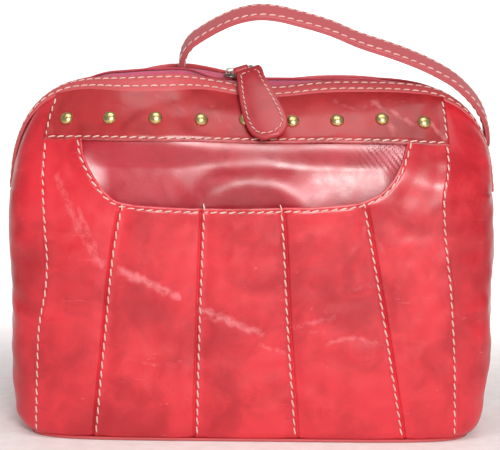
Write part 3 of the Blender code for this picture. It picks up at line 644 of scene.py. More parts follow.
class Graph:
    """Short ways to lay nodes in a tree."""

    def __init__(self, tree: bpy.types.NodeTree) -> None:
        """Keep the tree that nodes are laid in."""
        self.tree = tree

    def node(self, kind: str, **values: object) -> bpy.types.Node:
        """Add a node; values set its properties, or its inputs where they name one."""
        made = self.tree.nodes.new(kind)
        for key, value in values.items():
            socket = key.replace("_", " ")
            if hasattr(made, key):
                setattr(made, key, value)
            elif socket in made.inputs:
                self.feed(made.inputs[socket], value)
        return made

    def feed(self, socket: bpy.types.NodeSocket, value: object) -> None:
        """Link a socket to another, or set its value."""
        if isinstance(value, bpy.types.NodeSocket):
            self.tree.links.new(value, socket)
        else:
            socket.default_value = value

    def noise(self, vector: object, scale: float, detail: float = 3.0, rough: float = 0.55,
              distortion: float = 0.0) -> bpy.types.NodeSocket:
        """Noise from 0 to 1."""
        made = self.node("ShaderNodeTexNoise", Vector=vector, Scale=scale, Detail=detail, Roughness=rough,
                         Distortion=distortion)
        return made.outputs[0]

    def ramp(self, value: object, low: float, high: float, start: float = 0.0,
             end: float = 1.0) -> bpy.types.NodeSocket:
        """Value rescaled from low..high to start..end, with smooth ends."""
        made = self.node("ShaderNodeMapRange", interpolation_type="SMOOTHSTEP")
        for number, item in enumerate((value, low, high, start, end)):
            self.feed(made.inputs[number], item)
        return made.outputs[0]

    def sum(self, kind: str, first: object, second: object) -> bpy.types.NodeSocket:
        """A Math node."""
        made = self.node("ShaderNodeMath", operation=kind)
        self.feed(made.inputs[0], first)
        self.feed(made.inputs[1], second)
        return made.outputs[0]

    def mix(self, share: object, first: object, second: object, kind: str = "MIX") -> bpy.types.NodeSocket:
        """A colour mix."""
        made = self.node("ShaderNodeMix", data_type="RGBA", blend_type=kind)
        self.feed(made.inputs[0], share)
        self.feed(made.inputs[6], first)
        self.feed(made.inputs[7], second)
        return made.outputs[2]

    def group(self, tree: bpy.types.NodeTree, **values: object) -> bpy.types.Node:
        """Use a node group."""
        made = self.tree.nodes.new("ShaderNodeGroup")
        made.node_tree = tree
        for key, value in values.items():
            self.feed(made.inputs[key.replace("_", " ")], value)
        return made


def new_group(name: str, inputs: dict[str, tuple[str, object]],
              outputs: dict[str, str]) -> tuple[Graph, bpy.types.Node, bpy.types.Node]:
    """Start a node group.

    Args:
        name: the group's name.
        inputs: socket name to its kind and default.
        outputs: socket name to its kind.

    Returns:
        The graph, and its input and output nodes.
    """
    tree = bpy.data.node_groups.new(name, "ShaderNodeTree")
    for label, (kind, default) in inputs.items():
        made = tree.interface.new_socket(label, in_out="INPUT", socket_type=f"NodeSocket{kind}")
        if default is not None:
            made.default_value = default
    for label, kind in outputs.items():
        tree.interface.new_socket(label, in_out="OUTPUT", socket_type=f"NodeSocket{kind}")
    graph = Graph(tree)
    return graph, tree.nodes.new("NodeGroupInput"), tree.nodes.new("NodeGroupOutput")


def leather_group() -> bpy.types.NodeTree:
    """Grain height, mottling, creases and scratches of glazed leather."""
    graph, given, out = new_group(
        "glazed_leather", {"Vector": ("Vector", None), "Wear": ("Float", 0.0)},
        {"Height": "Float", "Mottle": "Float", "Crease": "Float", "Scratch": "Float", "Cloud": "Float"})
    place = given.outputs["Vector"]
    pores = graph.node("ShaderNodeTexVoronoi", Vector=place, Scale=1100.0)
    grain = graph.noise(place, 620.0, 3.0)
    cloud = graph.noise(place, 17.0, 4.0, 0.55, 0.4)
    mottle = graph.noise(place, 60.0, 5.0, 0.62, 0.6)
    warped = graph.node("ShaderNodeVectorMath", operation="SCALE", Vector=graph.node(
        "ShaderNodeTexNoise", Vector=place, Scale=60.0).outputs[1])
    warped.inputs[3].default_value = 0.012
    moved = graph.node("ShaderNodeVectorMath", operation="ADD")
    graph.feed(moved.inputs[0], place)
    graph.feed(moved.inputs[1], warped.outputs[0])
    cells = graph.node("ShaderNodeTexVoronoi", Vector=moved.outputs[0], Scale=380.0,
                       feature="DISTANCE_TO_EDGE")
    lines = graph.ramp(cells.outputs[0], 0.0, 0.09, 1.0, 0.0)
    patch = graph.ramp(graph.noise(place, 24.0, 3.0), 0.56, 0.70)
    # Crease lines gather where the mesh's pale mask is high, so they also run along its painted highlight
    # lines.
    here = graph.sum("MAXIMUM", graph.ramp(given.outputs["Wear"], 0.10, 0.85),
                     graph.sum("MULTIPLY", patch, 0.10))
    crease = graph.sum("MULTIPLY", lines, here)
    drawn = graph.node("ShaderNodeMapping", Vector=place, Scale=(60.0, 60.0, 340.0),
                       Rotation=(0.0, 0.42, 0.0))
    streak = graph.ramp(graph.noise(drawn.outputs[0], 1.0, 4.0, 0.7, 1.2), 0.66, 0.74)
    height = graph.sum("ADD", graph.sum("MULTIPLY", pores.outputs[0], 0.35),
                       graph.sum("MULTIPLY", grain, 0.65))
    height = graph.sum("SUBTRACT", height, graph.sum("MULTIPLY", crease, 1.3))
    for label, value in (("Height", height), ("Mottle", mottle), ("Crease", crease), ("Scratch", streak),
                         ("Cloud", cloud)):
        graph.feed(out.inputs[label], value)
    return graph.tree


def thread_group() -> bpy.types.NodeTree:
    """Twisted thread and woven cloth."""
    graph, given, out = new_group("woven_yarn", {"Vector": ("Vector", None), "Scale": ("Float", 900.0)},
                                  {"Height": "Float", "Shade": "Float"})
    place = graph.node("ShaderNodeVectorMath", operation="SCALE", Vector=given.outputs["Vector"])
    graph.feed(place.inputs[3], given.outputs["Scale"])
    warp = graph.node("ShaderNodeTexWave", Vector=place.outputs[0], Scale=1.0, Distortion=0.6,
                      bands_direction="X")
    weft = graph.node("ShaderNodeTexWave", Vector=place.outputs[0], Scale=1.0, Distortion=0.6,
                      bands_direction="Z")
    both = graph.sum("MULTIPLY", graph.sum("ADD", warp.outputs[1], weft.outputs[1]), 0.5)
    fuzz = graph.noise(place.outputs[0], 3.0, 3.0)
    graph.feed(out.inputs["Height"], both)
    graph.feed(out.inputs["Shade"], graph.sum("MULTIPLY", graph.sum("ADD", both, fuzz), 0.5))
    return graph.tree


GROUPS = {"leather": leather_group(), "yarn": thread_group()}


@dataclass(frozen=True)
class LeatherFinish:
    """Glazed pull-up leather: a deep ground, brighter patches, and pale worn creases and edges, with pale
    highlight lines painted where the mesh marks them.
    """

    name: str
    deep: tuple[float, float, float]
    bright: tuple[float, float, float]
    # worn is the pale colour of worn creases and edges; through the mesh's mask it also paints pale highlight
    # lines along folded edges and the side corners.
    worn: tuple[float, float, float]
    roughness: float = 0.30
    coat: float = 0.35
    coat_roughness: float = 0.12
    bump: float = 0.16
    scratch: float = 0.35

    def make(self) -> bpy.types.Material:
        """Build the material, once."""
        if self.name in bpy.data.materials:
            return bpy.data.materials[self.name]
        made = bpy.data.materials.new(self.name)
        made.use_nodes = True
        made.diffuse_color = (*self.bright, 1.0)
        graph = Graph(made.node_tree)
        shader = made.node_tree.nodes["Principled BSDF"]
        place = graph.node("ShaderNodeTexCoord").outputs["Object"]
        pale_share = graph.node("ShaderNodeAttribute", attribute_name="wear").outputs["Fac"]
        leather = graph.group(GROUPS["leather"], Vector=place, Wear=pale_share)
        out = leather.outputs
        blotch = graph.sum("ADD", graph.sum("MULTIPLY", out["Cloud"], 0.65),
                           graph.sum("MULTIPLY", out["Mottle"], 0.35))
        ground = graph.mix(graph.ramp(blotch, 0.36, 0.62), (*self.deep, 1.0), (*self.bright, 1.0))
        # Pale colour from creases, scratches and the mesh's mask; the mask holds worn creases and edges, and
        # painted highlight lines along folded edges and the side corners.
        pale = graph.sum("MAXIMUM", graph.sum("MULTIPLY", out["Crease"], 0.38),
                         graph.sum("MULTIPLY", out["Scratch"], self.scratch))
        patchy = graph.ramp(out["Mottle"], 0.40, 0.62, 0.05, 0.50)
        pale = graph.sum("MAXIMUM", pale, graph.sum("MULTIPLY", graph.ramp(pale_share, 0.15, 1.0), patchy))
        colour = graph.mix(pale, ground, (*self.worn, 1.0))
        graph.feed(shader.inputs["Base Color"], colour)
        graph.feed(shader.inputs["Roughness"], graph.ramp(out["Mottle"], 0.3, 0.7, self.roughness - 0.05,
                                                          self.roughness + 0.09))
        shader.inputs["Coat Weight"].default_value = self.coat
        shader.inputs["Coat Roughness"].default_value = self.coat_roughness
        shader.inputs["Specular IOR Level"].default_value = 0.45
        bump = graph.node("ShaderNodeBump", Strength=self.bump, Distance=0.0004, Height=out["Height"])
        graph.feed(shader.inputs["Normal"], bump.outputs[0])
        return made


@dataclass(frozen=True)
class YarnFinish:
    """Thread, tape or lining cloth."""

    name: str
    dark: tuple[float, float, float]
    light: tuple[float, float, float]
    scale: float = 900.0
    sheen: float = 0.3
    roughness: float = 0.8

    def make(self) -> bpy.types.Material:
        """Build the material, once."""
        if self.name in bpy.data.materials:
            return bpy.data.materials[self.name]
        made = bpy.data.materials.new(self.name)
        made.use_nodes = True
        made.diffuse_color = (*self.light, 1.0)
        graph = Graph(made.node_tree)
        shader = made.node_tree.nodes["Principled BSDF"]
        place = graph.node("ShaderNodeTexCoord").outputs["Object"]
        yarn = graph.group(GROUPS["yarn"], Vector=place, Scale=self.scale)
        grime = graph.ramp(graph.noise(place, 130.0, 3.0), 0.35, 0.70, 0.0, 0.35)
        shade = graph.sum("SUBTRACT", graph.ramp(yarn.outputs["Shade"], 0.25, 0.65), grime)
        graph.feed(shader.inputs["Base Color"], graph.mix(shade, (*self.dark, 1.0), (*self.light, 1.0)))
        shader.inputs["Roughness"].default_value = self.roughness
        shader.inputs["Sheen Weight"].default_value = self.sheen
        bump = graph.node("ShaderNodeBump", Strength=0.5, Distance=0.0003, Height=yarn.outputs["Height"])
        graph.feed(shader.inputs["Normal"], bump.outputs[0])
        return made


@dataclass(frozen=True)
class MetalFinish:
    """Plated trim with patches of tarnish."""

    name: str
    metal: tuple[float, float, float]
    tarnish: tuple[float, float, float]
    roughness: float = 0.22
    spread: float = 0.5

    def make(self) -> bpy.types.Material:
        """Build the material, once."""
        if self.name in bpy.data.materials:
            return bpy.data.materials[self.name]
        made = bpy.data.materials.new(self.name)
        made.use_nodes = True
        made.diffuse_color = (*self.metal, 1.0)
        graph = Graph(made.node_tree)
        shader = made.node_tree.nodes["Principled BSDF"]
        place = graph.node("ShaderNodeTexCoord").outputs["Object"]
        stain = graph.ramp(graph.noise(place, 420.0, 4.0, 0.6, 0.5), 0.62 - 0.25 * self.spread, 0.72)
        graph.feed(shader.inputs["Base Color"], graph.mix(stain, (*self.metal, 1.0), (*self.tarnish, 1.0)))
        dull = graph.ramp(stain, 0.0, 1.0, self.roughness, self.roughness + 0.25)
        graph.feed(shader.inputs["Roughness"], dull)
        shader.inputs["Metallic"].default_value = 1.0
        scratch = graph.noise(place, 1600.0, 2.0)
        bump = graph.node("ShaderNodeBump", Strength=0.08, Distance=0.0001, Height=scratch)
        graph.feed(shader.inputs["Normal"], bump.outputs[0])
        return made


RED = LeatherFinish("red_glazed_leather", (0.400, 0.008, 0.016), (0.640, 0.022, 0.036), (0.780, 0.260, 0.280),
                    roughness=0.36, coat=0.22, coat_roughness=0.20)
BAND = LeatherFinish("band_glazed_leather", (0.250, 0.008, 0.012), (0.400, 0.018, 0.022),
                     (0.660, 0.220, 0.230), roughness=0.36, coat=0.22, coat_roughness=0.22, scratch=0.45)
FACING = LeatherFinish("facing_polished_leather", (0.300, 0.006, 0.016), (0.440, 0.014, 0.032),
                       (0.620, 0.160, 0.200), roughness=0.34, coat=0.38, coat_roughness=0.30, bump=0.16,
                       scratch=0.1)
BINDING = LeatherFinish("binding_leather", (0.330, 0.050, 0.056), (0.470, 0.105, 0.115),
                        (0.620, 0.260, 0.260), roughness=0.40, coat=0.15, scratch=0.2)
STRAP = LeatherFinish("strap_leather", (0.290, 0.050, 0.056), (0.430, 0.100, 0.110), (0.560, 0.260, 0.260),
                      roughness=0.42, coat=0.15, scratch=0.25)
TAB = LeatherFinish("tab_leather", (0.280, 0.014, 0.020), (0.420, 0.034, 0.044), (0.600, 0.210, 0.220),
                    roughness=0.38, coat=0.20, coat_roughness=0.24, scratch=0.25)
LINING = YarnFinish("lining_cloth_pink", (0.330, 0.020, 0.070), (0.560, 0.060, 0.160), scale=2600.0)
TAPE = YarnFinish("zip_tape_weave", (0.460, 0.020, 0.090), (0.720, 0.060, 0.190), scale=2200.0)
THREAD = YarnFinish("cream_pink_thread", (0.600, 0.330, 0.280), (0.930, 0.740, 0.660), scale=3400.0,
                    sheen=0.2, roughness=0.7)
COIL = YarnFinish("zip_coil_nylon", (0.340, 0.012, 0.030), (0.600, 0.060, 0.100), scale=1500.0, sheen=0.1,
                  roughness=0.42)
BRASS = MetalFinish("aged_brass", (0.660, 0.540, 0.240), (0.260, 0.230, 0.100), 0.30, 0.45)
PEWTER = MetalFinish("worn_pewter", (0.420, 0.420, 0.370), (0.150, 0.150, 0.120), 0.34, 0.6)


def dress(piece: bpy.types.Object, finish: object) -> bpy.types.Object:
    """Give a piece its finish and its slot, and report it."""
    piece.data.materials.clear()
    piece.data.materials.append(finish.make())
    LOG.info("%s: %d points, %s", piece.name, len(piece.data.vertices), finish.name)
    return piece


def on_mouth(piece: bpy.types.Object) -> bpy.types.Object:
    """Bake a front piece's placement into its points."""
    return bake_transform(piece)


def settle(piece: bpy.types.Object, face: Face) -> bpy.types.Object:
    """Bake a front piece's placement into its points; a back piece stays with the bag."""
    return on_mouth(piece) if face is Face.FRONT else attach(piece, "bag_body")


# ---- Sub-assemblies ----

@dataclass
class FrontPocket:
    """The gored front, whose folded lip is the pocket's edge, over a polished facing."""

    fold_radius: float = 0.0009
    lap_rise: float = 0.0009
    rows: int = 118
    columns: tuple[int, ...] = (96, 66, 62, 66, 96)
    near_lip: tuple[float, ...] = (0.0040, 0.0031, 0.0024, 0.0018, 0.0013, 0.0009, 0.0006, 0.0003, 0.0001,
                                   0.0)
    crowding: float = 0.72         # how strongly the columns crowd towards the seams
    under_band: float = 0.0004     # how far the panel runs up under the band
    lip_base_z: float = 0.160      # the fanned seams meet the lip below this height
    groove_z: float = 0.1515
    padding: float = 0.0006
    fold_steps: tuple[tuple[float, float], ...] = (
        (130.0, 0.0), (180.0, 0.0), (180.0, 0.0015), (180.0, 0.0050))
    foot_tuck: tuple[float, float, float] = (0.0, 0.0022, -0.0004)
    facing_foot: float = 0.118
    facing_rim: float = 0.0012
    facing_deep: float = 0.0066
    pillow: float = 0.0021
    pillow_centre: tuple[float, float] = (0.001, 0.132)
    pillow_stretch: float = 1.15
    pillow_radius: float = 0.031
    pillow_width: float = 0.0098
    wrinkle: float = 0.0009
    wrinkle_centre: tuple[float, float] = (0.083, 0.181)
    wrinkle_reach: tuple[float, float] = (0.012, 0.008)
    wrinkle_pitch: float = 0.00060
    lip_stitch_lift: float = 0.00085
    seam_stitch_lift: float = 0.00062

    def lip_edge(self) -> Array:
        """The folded edge of the lip, from left to right, as (x, height)."""
        line = even_path(rounded_curve(LIP_LINE, 10), 240)
        along = np.gradient(line, axis=0)
        along /= np.linalg.norm(along, axis=1)[:, None]
        return line + LIP_FOLD * np.stack([-along[:, 1], along[:, 0]], axis=1)

    def top_line(self) -> Array:
        """The pocket's whole top: under the band, round the lip, and under the band again."""
        edge = self.lip_edge()
        left = np.linspace(float(edge_seam_x(Side.LEFT, 0.188)), edge[0, 0], 24)[:-1]
        right = np.linspace(edge[-1, 0], float(edge_seam_x(Side.RIGHT, 0.187)), 24)[1:]
        west = np.stack([left, hinge_height(left) + self.under_band], axis=1)
        east = np.stack([right, hinge_height(right) + self.under_band], axis=1)
        return np.concatenate([west, edge, east])

    def gore_cuts(self, top: Array) -> list[int]:
        """Numbers of the top line's points where each gore begins, and its last point."""
        cuts = [0]
        for number, knots in enumerate(FANS):
            groove = through(knots, self.groove_z) + (-SEAM_LAP if number < 2 else SEAM_LAP)
            low = np.where(top[:, 1] < self.lip_base_z)[0]
            cuts.append(int(low[np.argmin(np.abs(top[low, 0] - groove))]))
        return cuts + [len(top) - 1]

    def column(self, gore: int, share: float, x: float, z: float) -> Array:
        """One column of a gore, from its foot up to (x, z), as (x, height)."""
        level = np.linspace(0.0, 1.0, self.rows)
        near = 1.0 - np.array(self.near_lip) / (z - SKIN.foot_z)
        level = np.concatenate([level[level < near[0] - 0.002], near])
        heights = SKIN.foot_z + (z - SKIN.foot_z) * level
        west, east = self.seam(gore, heights), self.seam(gore + 1, heights)
        line = west + share * (east - west)
        line += (x - line[-1]) * level**3
        return np.stack([line, heights], axis=1)

    def column_lines(self) -> tuple[Array, Array, Array]:
        """Lay the columns between the seams.

        Returns:
            The columns' tops, the directions out of the panel there, and the rows of (x, height).
        """
        top = even_path(self.top_line(), 2400)
        along = np.gradient(top, axis=0)
        along /= np.linalg.norm(along, axis=1)[:, None]
        numbers = np.arange(len(top))
        cuts = self.gore_cuts(top)
        tops, outs, lines = [], [], []
        for gore, wide in enumerate(self.columns):
            t = np.linspace(0.0, 1.0, wide)
            t = t - self.crowding * np.sin(2 * math.pi * t) / (2 * math.pi)
            t = t if gore == len(self.columns) - 1 else t[:-1]
            at = cuts[gore] + t * (cuts[gore + 1] - cuts[gore])
            place = np.stack([np.interp(at, numbers, top[:, k]) for k in (0, 1)], axis=1)
            turn = np.stack([np.interp(at, numbers, along[:, k]) for k in (0, 1)], axis=1)
            for share, (x, z), (ax, az) in zip(t, place, turn):
                lines.append(self.column(gore, share, x, z))
                tops.append((x, z))
                outs.append((-az, ax))
        count = min(len(line) for line in lines)
        lines = [np.concatenate([line[:1], line[len(line) - count + 1:]]) for line in lines]
        return np.array(tops), np.array(outs), np.array(lines)

    def seam(self, number: int, z: Array) -> Array:
        """x of the seam to the left of a gore; 0 and 5 are the panel's own edges."""
        if number in (0, 5):
            return edge_seam_x(Side.LEFT if number == 0 else Side.RIGHT, z)
        return through(FANS[number - 1], z) + (-SEAM_LAP if number < 3 else SEAM_LAP)

    def make_panel(self) -> bpy.types.Object:
        """Build the gored panel with its rolled lip and raised side edges."""
        tops, outs, lines = self.column_lines()
        grid = lines.transpose(1, 0, 2)
        x, z = grid[..., 0], grid[..., 1]
        flat = grid.reshape(-1, 2)
        edge = self.lip_edge()
        away = distance_to(flat, edge[::2]).reshape(x.shape)
        short = np.clip(self.fold_radius - away, 0.0, self.fold_radius)
        roll = self.fold_radius - np.sqrt(self.fold_radius**2 - short**2)
        aside = np.minimum(x - edge_seam_x(Side.LEFT, z), edge_seam_x(Side.RIGHT, z) - x)
        lap = self.lap_rise * (1.0 - 0.55 * smooth(aside / 0.010)) - EDGE_TUCK * bell(aside, EDGE_ROUND)
        stitch_dip = -STITCH_DENT * (bell(away - LIP_FOLD, DENT_WIDTH) + bell(aside - SEAM_LAP, DENT_WIDTH))
        padding = self.padding * smooth((0.012 - away) / 0.010)
        points = front_points(x, z, lap - roll + stitch_dip + padding)
        worn = RELIEF.worn(x, z)
        # Pale lines along the lip's folded edge and the cut side edges: edge rubbing and a painted highlight.
        wear = np.maximum(worn, 0.85 * bell(away - 0.0003, 0.0009))
        wear = np.maximum(wear, 0.5 * bell(aside - 0.0006, 0.0007))
        layers, marks = [points], [wear]
        normal = front_normals(tops[:, 0], tops[:, 1])
        last = points[-1]
        for turn, back in self.fold_steps:
            angle = math.radians(turn)
            shift = self.fold_radius * (1.0 - math.sin(angle)) + back
            sink = self.fold_radius * (1.0 - math.cos(angle)) - self.fold_radius
            moved = last - normal * sink
            moved = moved - np.stack([outs[:, 0], np.zeros(len(outs)), outs[:, 1]], axis=1) * shift
            layers.append(moved[None])
            marks.append(np.zeros((1, len(moved))))
        foot = points[0] + np.array(self.foot_tuck)
        layers.insert(0, foot[None])
        marks.insert(0, np.zeros((1, len(foot))))
        piece = MeshMaker.grid("pocket_front", np.concatenate(layers), np.concatenate(marks))
        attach(dress(piece, RED), "bag_body")
        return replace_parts(piece, *[f"pocket_gore_{n}" for n in range(1, 6)])

    def make_facing(self) -> bpy.types.Object:
        """Build the polished wall behind the lip."""
        u, v = np.meshgrid(np.linspace(-0.1165, 0.1110, 190), np.linspace(0.0, 1.0, 64))
        z = self.facing_foot + v * (hinge_height(u) + 0.0006 - self.facing_foot)
        deep = smooth((0.1897 - z) / 0.020) * smooth((0.1135 - np.abs(u + 0.0035)) / 0.030)
        inset = self.facing_rim + (self.facing_deep - self.facing_rim) * deep
        ring = np.hypot((u - self.pillow_centre[0]) / self.pillow_stretch, z - self.pillow_centre[1])
        bulge = self.pillow * bell(ring - self.pillow_radius, self.pillow_width)
        slack = 0.0003 * Waves(0.060, 71).at(u, z) + 0.00004 * Waves(0.012, 72, 18).at(u, z)
        corner = bell(u - self.wrinkle_centre[0], self.wrinkle_reach[0])
        corner = corner * bell(z - self.wrinkle_centre[1], self.wrinkle_reach[1])
        wrinkle = self.wrinkle * corner * np.sin((u + 0.8 * z) / self.wrinkle_pitch)
        points = np.stack([u, -(SKIN.depth(u, z) - inset + (bulge + slack) * deep + wrinkle), z], axis=-1)
        piece = MeshMaker.grid("pocket_facing_panel", points, 0.9 * corner)
        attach(dress(piece, FACING), "bag_body")
        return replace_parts(piece, "pocket_facing")

    def make_seams(self) -> None:
        """Sew the lip, the fanned seams and the panel's two sides."""
        lip = even_path(rounded_curve(LIP_LINE, 10), 260)
        rows = [lip]
        for knots in FANS:
            z = np.linspace(0.0045, knots[-1][0] - 0.0004, 200)
            rows.append(np.stack([through(knots, z), z], axis=1))
        for side in Side:
            z = np.linspace(0.0045, 0.1855, 200)
            rows.append(np.stack([seam_x(side, z), z], axis=1))
        bodies = []
        for row in rows:
            x, z = row[:, 0], row[:, 1]
            lift = self.lip_stitch_lift if row is lip else self.seam_stitch_lift
            bodies += STITCH.bodies(front_points(x, z, lift), front_normals(x, z))
        piece = MeshMaker.loops("pocket_stitches", bodies)
        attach(dress(piece, THREAD), "bag_body")

    def build(self) -> None:
        """Build the pocket."""
        self.make_facing()
        self.make_panel()
        self.make_seams()


@dataclass
class Band:
    """The strip between the front seam and the mouth, front or back."""

    face: Face
    rise: float = 0.0011
    flap: float = 0.0021
    columns: int = 300
    rows: int = 52

    def build(self) -> None:
        """Build the strip and its stitches."""
        t = np.linspace(0.0, 1.0, self.columns)
        west, east = edge_seam_x(Side.LEFT, 0.2), edge_seam_x(Side.RIGHT, 0.2)
        x0 = west + t * (east - west)
        top = SKIN.edge_height(x0, SKIN.mouth_half(x0) + 0.0010)
        v = np.linspace(0.0, 1.0, self.rows)[:, None]
        v = v**1.15
        low = hinge_height(x0) - self.flap
        z = low + v * (top - low)
        x = edge_seam_x(Side.LEFT, z) + t * (edge_seam_x(Side.RIGHT, z) - edge_seam_x(Side.LEFT, z))
        above = z - low
        aside = np.minimum(t, 1.0 - t) * (east - west)
        lift = self.rise * (1.0 - 0.5 * smooth(above / 0.012)) - 0.0012 * bell(above, EDGE_ROUND)
        lift += 0.0005 * (1.0 - smooth(aside / 0.006)) - EDGE_TUCK * bell(aside, EDGE_ROUND)
        lift -= STITCH_DENT * bell(above - self.flap, DENT_WIDTH)
        points = front_points(x, z, lift, self.face)
        # A pale line along the folded lower edge: edge rubbing and a painted highlight.
        wear = 0.75 * bell(above - 0.0005, 0.0007)
        if self.face is Face.FRONT:
            wear = np.maximum(wear, RELIEF.worn(x, z))
        name = "stud_band_front" if self.face is Face.FRONT else "plain_band_back"
        piece = MeshMaker.grid(name, points, wear, turned=self.face is Face.BACK)
        dress(piece, BAND if self.face is Face.FRONT else RED)
        settle(piece, self.face)
        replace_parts(piece, "stud_band" if self.face is Face.FRONT else "back_band")
        self.sew()

    def sew(self) -> None:
        """Sew the band along its lower seam and its two ends."""
        x = np.linspace(seam_x(Side.LEFT, 0.188) + 0.0008, seam_x(Side.RIGHT, 0.188) - 0.0008, 300)
        rows = [np.stack([x, hinge_height(x)], axis=1)]
        for side in Side:
            z = np.linspace(0.1885, 0.2120, 40)
            rows.append(np.stack([seam_x(side, z), z], axis=1))
        bodies = []
        for row in rows:
            points = front_points(row[:, 0], row[:, 1], 0.0009, self.face)
            bodies += STITCH.bodies(points, front_normals(row[:, 0], row[:, 1], self.face))
        piece = MeshMaker.loops(f"band_stitches_{self.face.name.lower()}", bodies)
        dress(piece, THREAD)
        settle(piece, self.face)


@dataclass
class Studs:
    """Nine domed brass studs along the band."""

    places: tuple[tuple[float, float], ...] = (
        (-0.1152, 0.1999), (-0.0878, 0.2010), (-0.0595, 0.2013), (-0.0315, 0.2003), (-0.0040, 0.2003),
        (0.0252, 0.1996), (0.0529, 0.2003), (0.0809, 0.2014), (0.1071, 0.1995))
    radius: float = 0.0043
    profile: tuple[tuple[float, float], ...] = (
        (0.86, -0.0008), (0.97, -0.0002), (1.00, 0.0002), (0.985, 0.00065), (0.94, 0.0011), (0.86, 0.0016),
        (0.75, 0.0020), (0.61, 0.0024), (0.45, 0.0027), (0.28, 0.00288), (0.12, 0.00296), (0.02, 0.0030))
    segments: int = 36

    def build(self) -> None:
        """Build each stud square to the leather."""
        turns = np.arange(self.segments) * 2.0 * math.pi / self.segments
        for number, (x, z) in enumerate(self.places):
            at = np.array([x]), np.array([z])
            centre = front_points(*at, 0.0006)[0]
            normal = front_normals(*at)[0]
            aside = np.cross(np.array([0.0, 0.0, 1.0]), normal)
            aside /= np.linalg.norm(aside)
            up = np.cross(normal, aside)
            rings = [centre + normal * height + self.radius * share * (np.cos(turns)[:, None] * aside
                                                                     + np.sin(turns)[:, None] * up)
                     for share, height in self.profile]
            piece = MeshMaker.loops(f"domed_stud_{number + 1}", [np.array(rings)])
            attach(dress(piece, BRASS), "front_mouth")
            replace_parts(piece, f"stud_{number + 1}")


@dataclass
class Gusset:
    """A side panel, wrapped round the bag's end and split along its middle."""

    side: Side
    columns: int = 84
    rows: int = 130
    top_z: float = 0.2165

    def grid(self, face: Face) -> Array:
        """Points of the front or back half as (row, column, 3)."""
        z = np.linspace(SKIN.foot_z, self.top_z, self.rows)[:, None]
        rise = smooth((z - SKIN.zip_end_z + 0.0005) / 0.0025)
        inner = SKIN.angle_of(self.side, z, depth=0.0152) * rise
        seam = SKIN.angle_of(self.side, z, x=np.abs(seam_x(self.side, z)) - 0.0004)
        seam = np.maximum(seam, inner + 0.0005)
        t = np.linspace(0.0, 1.0, self.columns)[None, :]
        angle = (inner + t * (seam - inner)) * face.value
        flat = SKIN.wrap(self.side, z, angle)
        shift = RELIEF.plain(flat[..., 1] + 0.4 * self.side.value, flat[..., 2], 21, 1.5)
        calm = smooth((self.top_z - z) / 0.030) * smooth((z - 0.002) / 0.020) * smooth((1.0 - t) / 0.12)
        reach = smooth((z - 0.02) / 0.05) * smooth((0.15 - z) / 0.03)
        fold = -0.0016 * bell(flat[..., 1], 0.010) * reach
        return SKIN.wrap(self.side, z, angle, -(shift * calm + fold))

    def build(self) -> None:
        """Build both halves."""
        name = self.side.name.lower()
        for face in Face:
            points = self.grid(face)
            # A pale line along the corner where the front turns into the side: a painted highlight of that
            # ridge, carried in the mesh's pale mask.
            corner = bell(np.abs(points[..., 0]) - 0.1435, 0.0018) * (np.abs(points[..., 1]) > 0.02)
            wear = 0.28 * corner
            turned = (face is Face.FRONT) == (self.side is Side.RIGHT)
            piece = MeshMaker.grid(f"gusset_{name}_{face.name.lower()}_half", points, wear, turned=not turned)
            dress(piece, RED)
            settle(piece, face)
            if face is Face.FRONT:
                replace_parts(piece, f"gusset_{name}")


@dataclass
class BackPanel:
    """The plain back below its band."""

    columns: int = 170
    rows: int = 110

    def build(self) -> None:
        """Build the panel and sew its sides."""
        t = np.linspace(0.0, 1.0, self.columns)[None, :]
        v = np.linspace(0.0, 1.0, self.rows)[:, None]
        z = SKIN.foot_z + v * (hinge_height(-0.125 + 0.25 * t) - SKIN.foot_z)
        west, east = edge_seam_x(Side.LEFT, z), edge_seam_x(Side.RIGHT, z)
        x = west + t * (east - west)
        aside = np.minimum(t, 1.0 - t) * 0.252
        lift = 0.0009 * (1.0 - 0.55 * smooth(aside / 0.010)) - EDGE_TUCK * bell(aside, EDGE_ROUND)
        points = front_points(x, z, lift, Face.BACK)
        foot = points[0] + np.array([0.0, -0.0022, -0.0004])
        points = np.concatenate([foot[None], points])
        wear = np.zeros(points.shape[:2])
        piece = MeshMaker.grid("back_panel_leather", points, wear, turned=True)
        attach(dress(piece, RED), "bag_body")
        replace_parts(piece, "back_panel")
        bodies = []
        for side in Side:
            z = np.linspace(0.0045, 0.1855, 200)
            x = seam_x(side, z)
            sewn = front_points(x, z, 0.0006, Face.BACK)
            bodies += STITCH.bodies(sewn, front_normals(x, z, Face.BACK))
        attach(dress(MeshMaker.loops("back_stitches", bodies), THREAD), "bag_body")


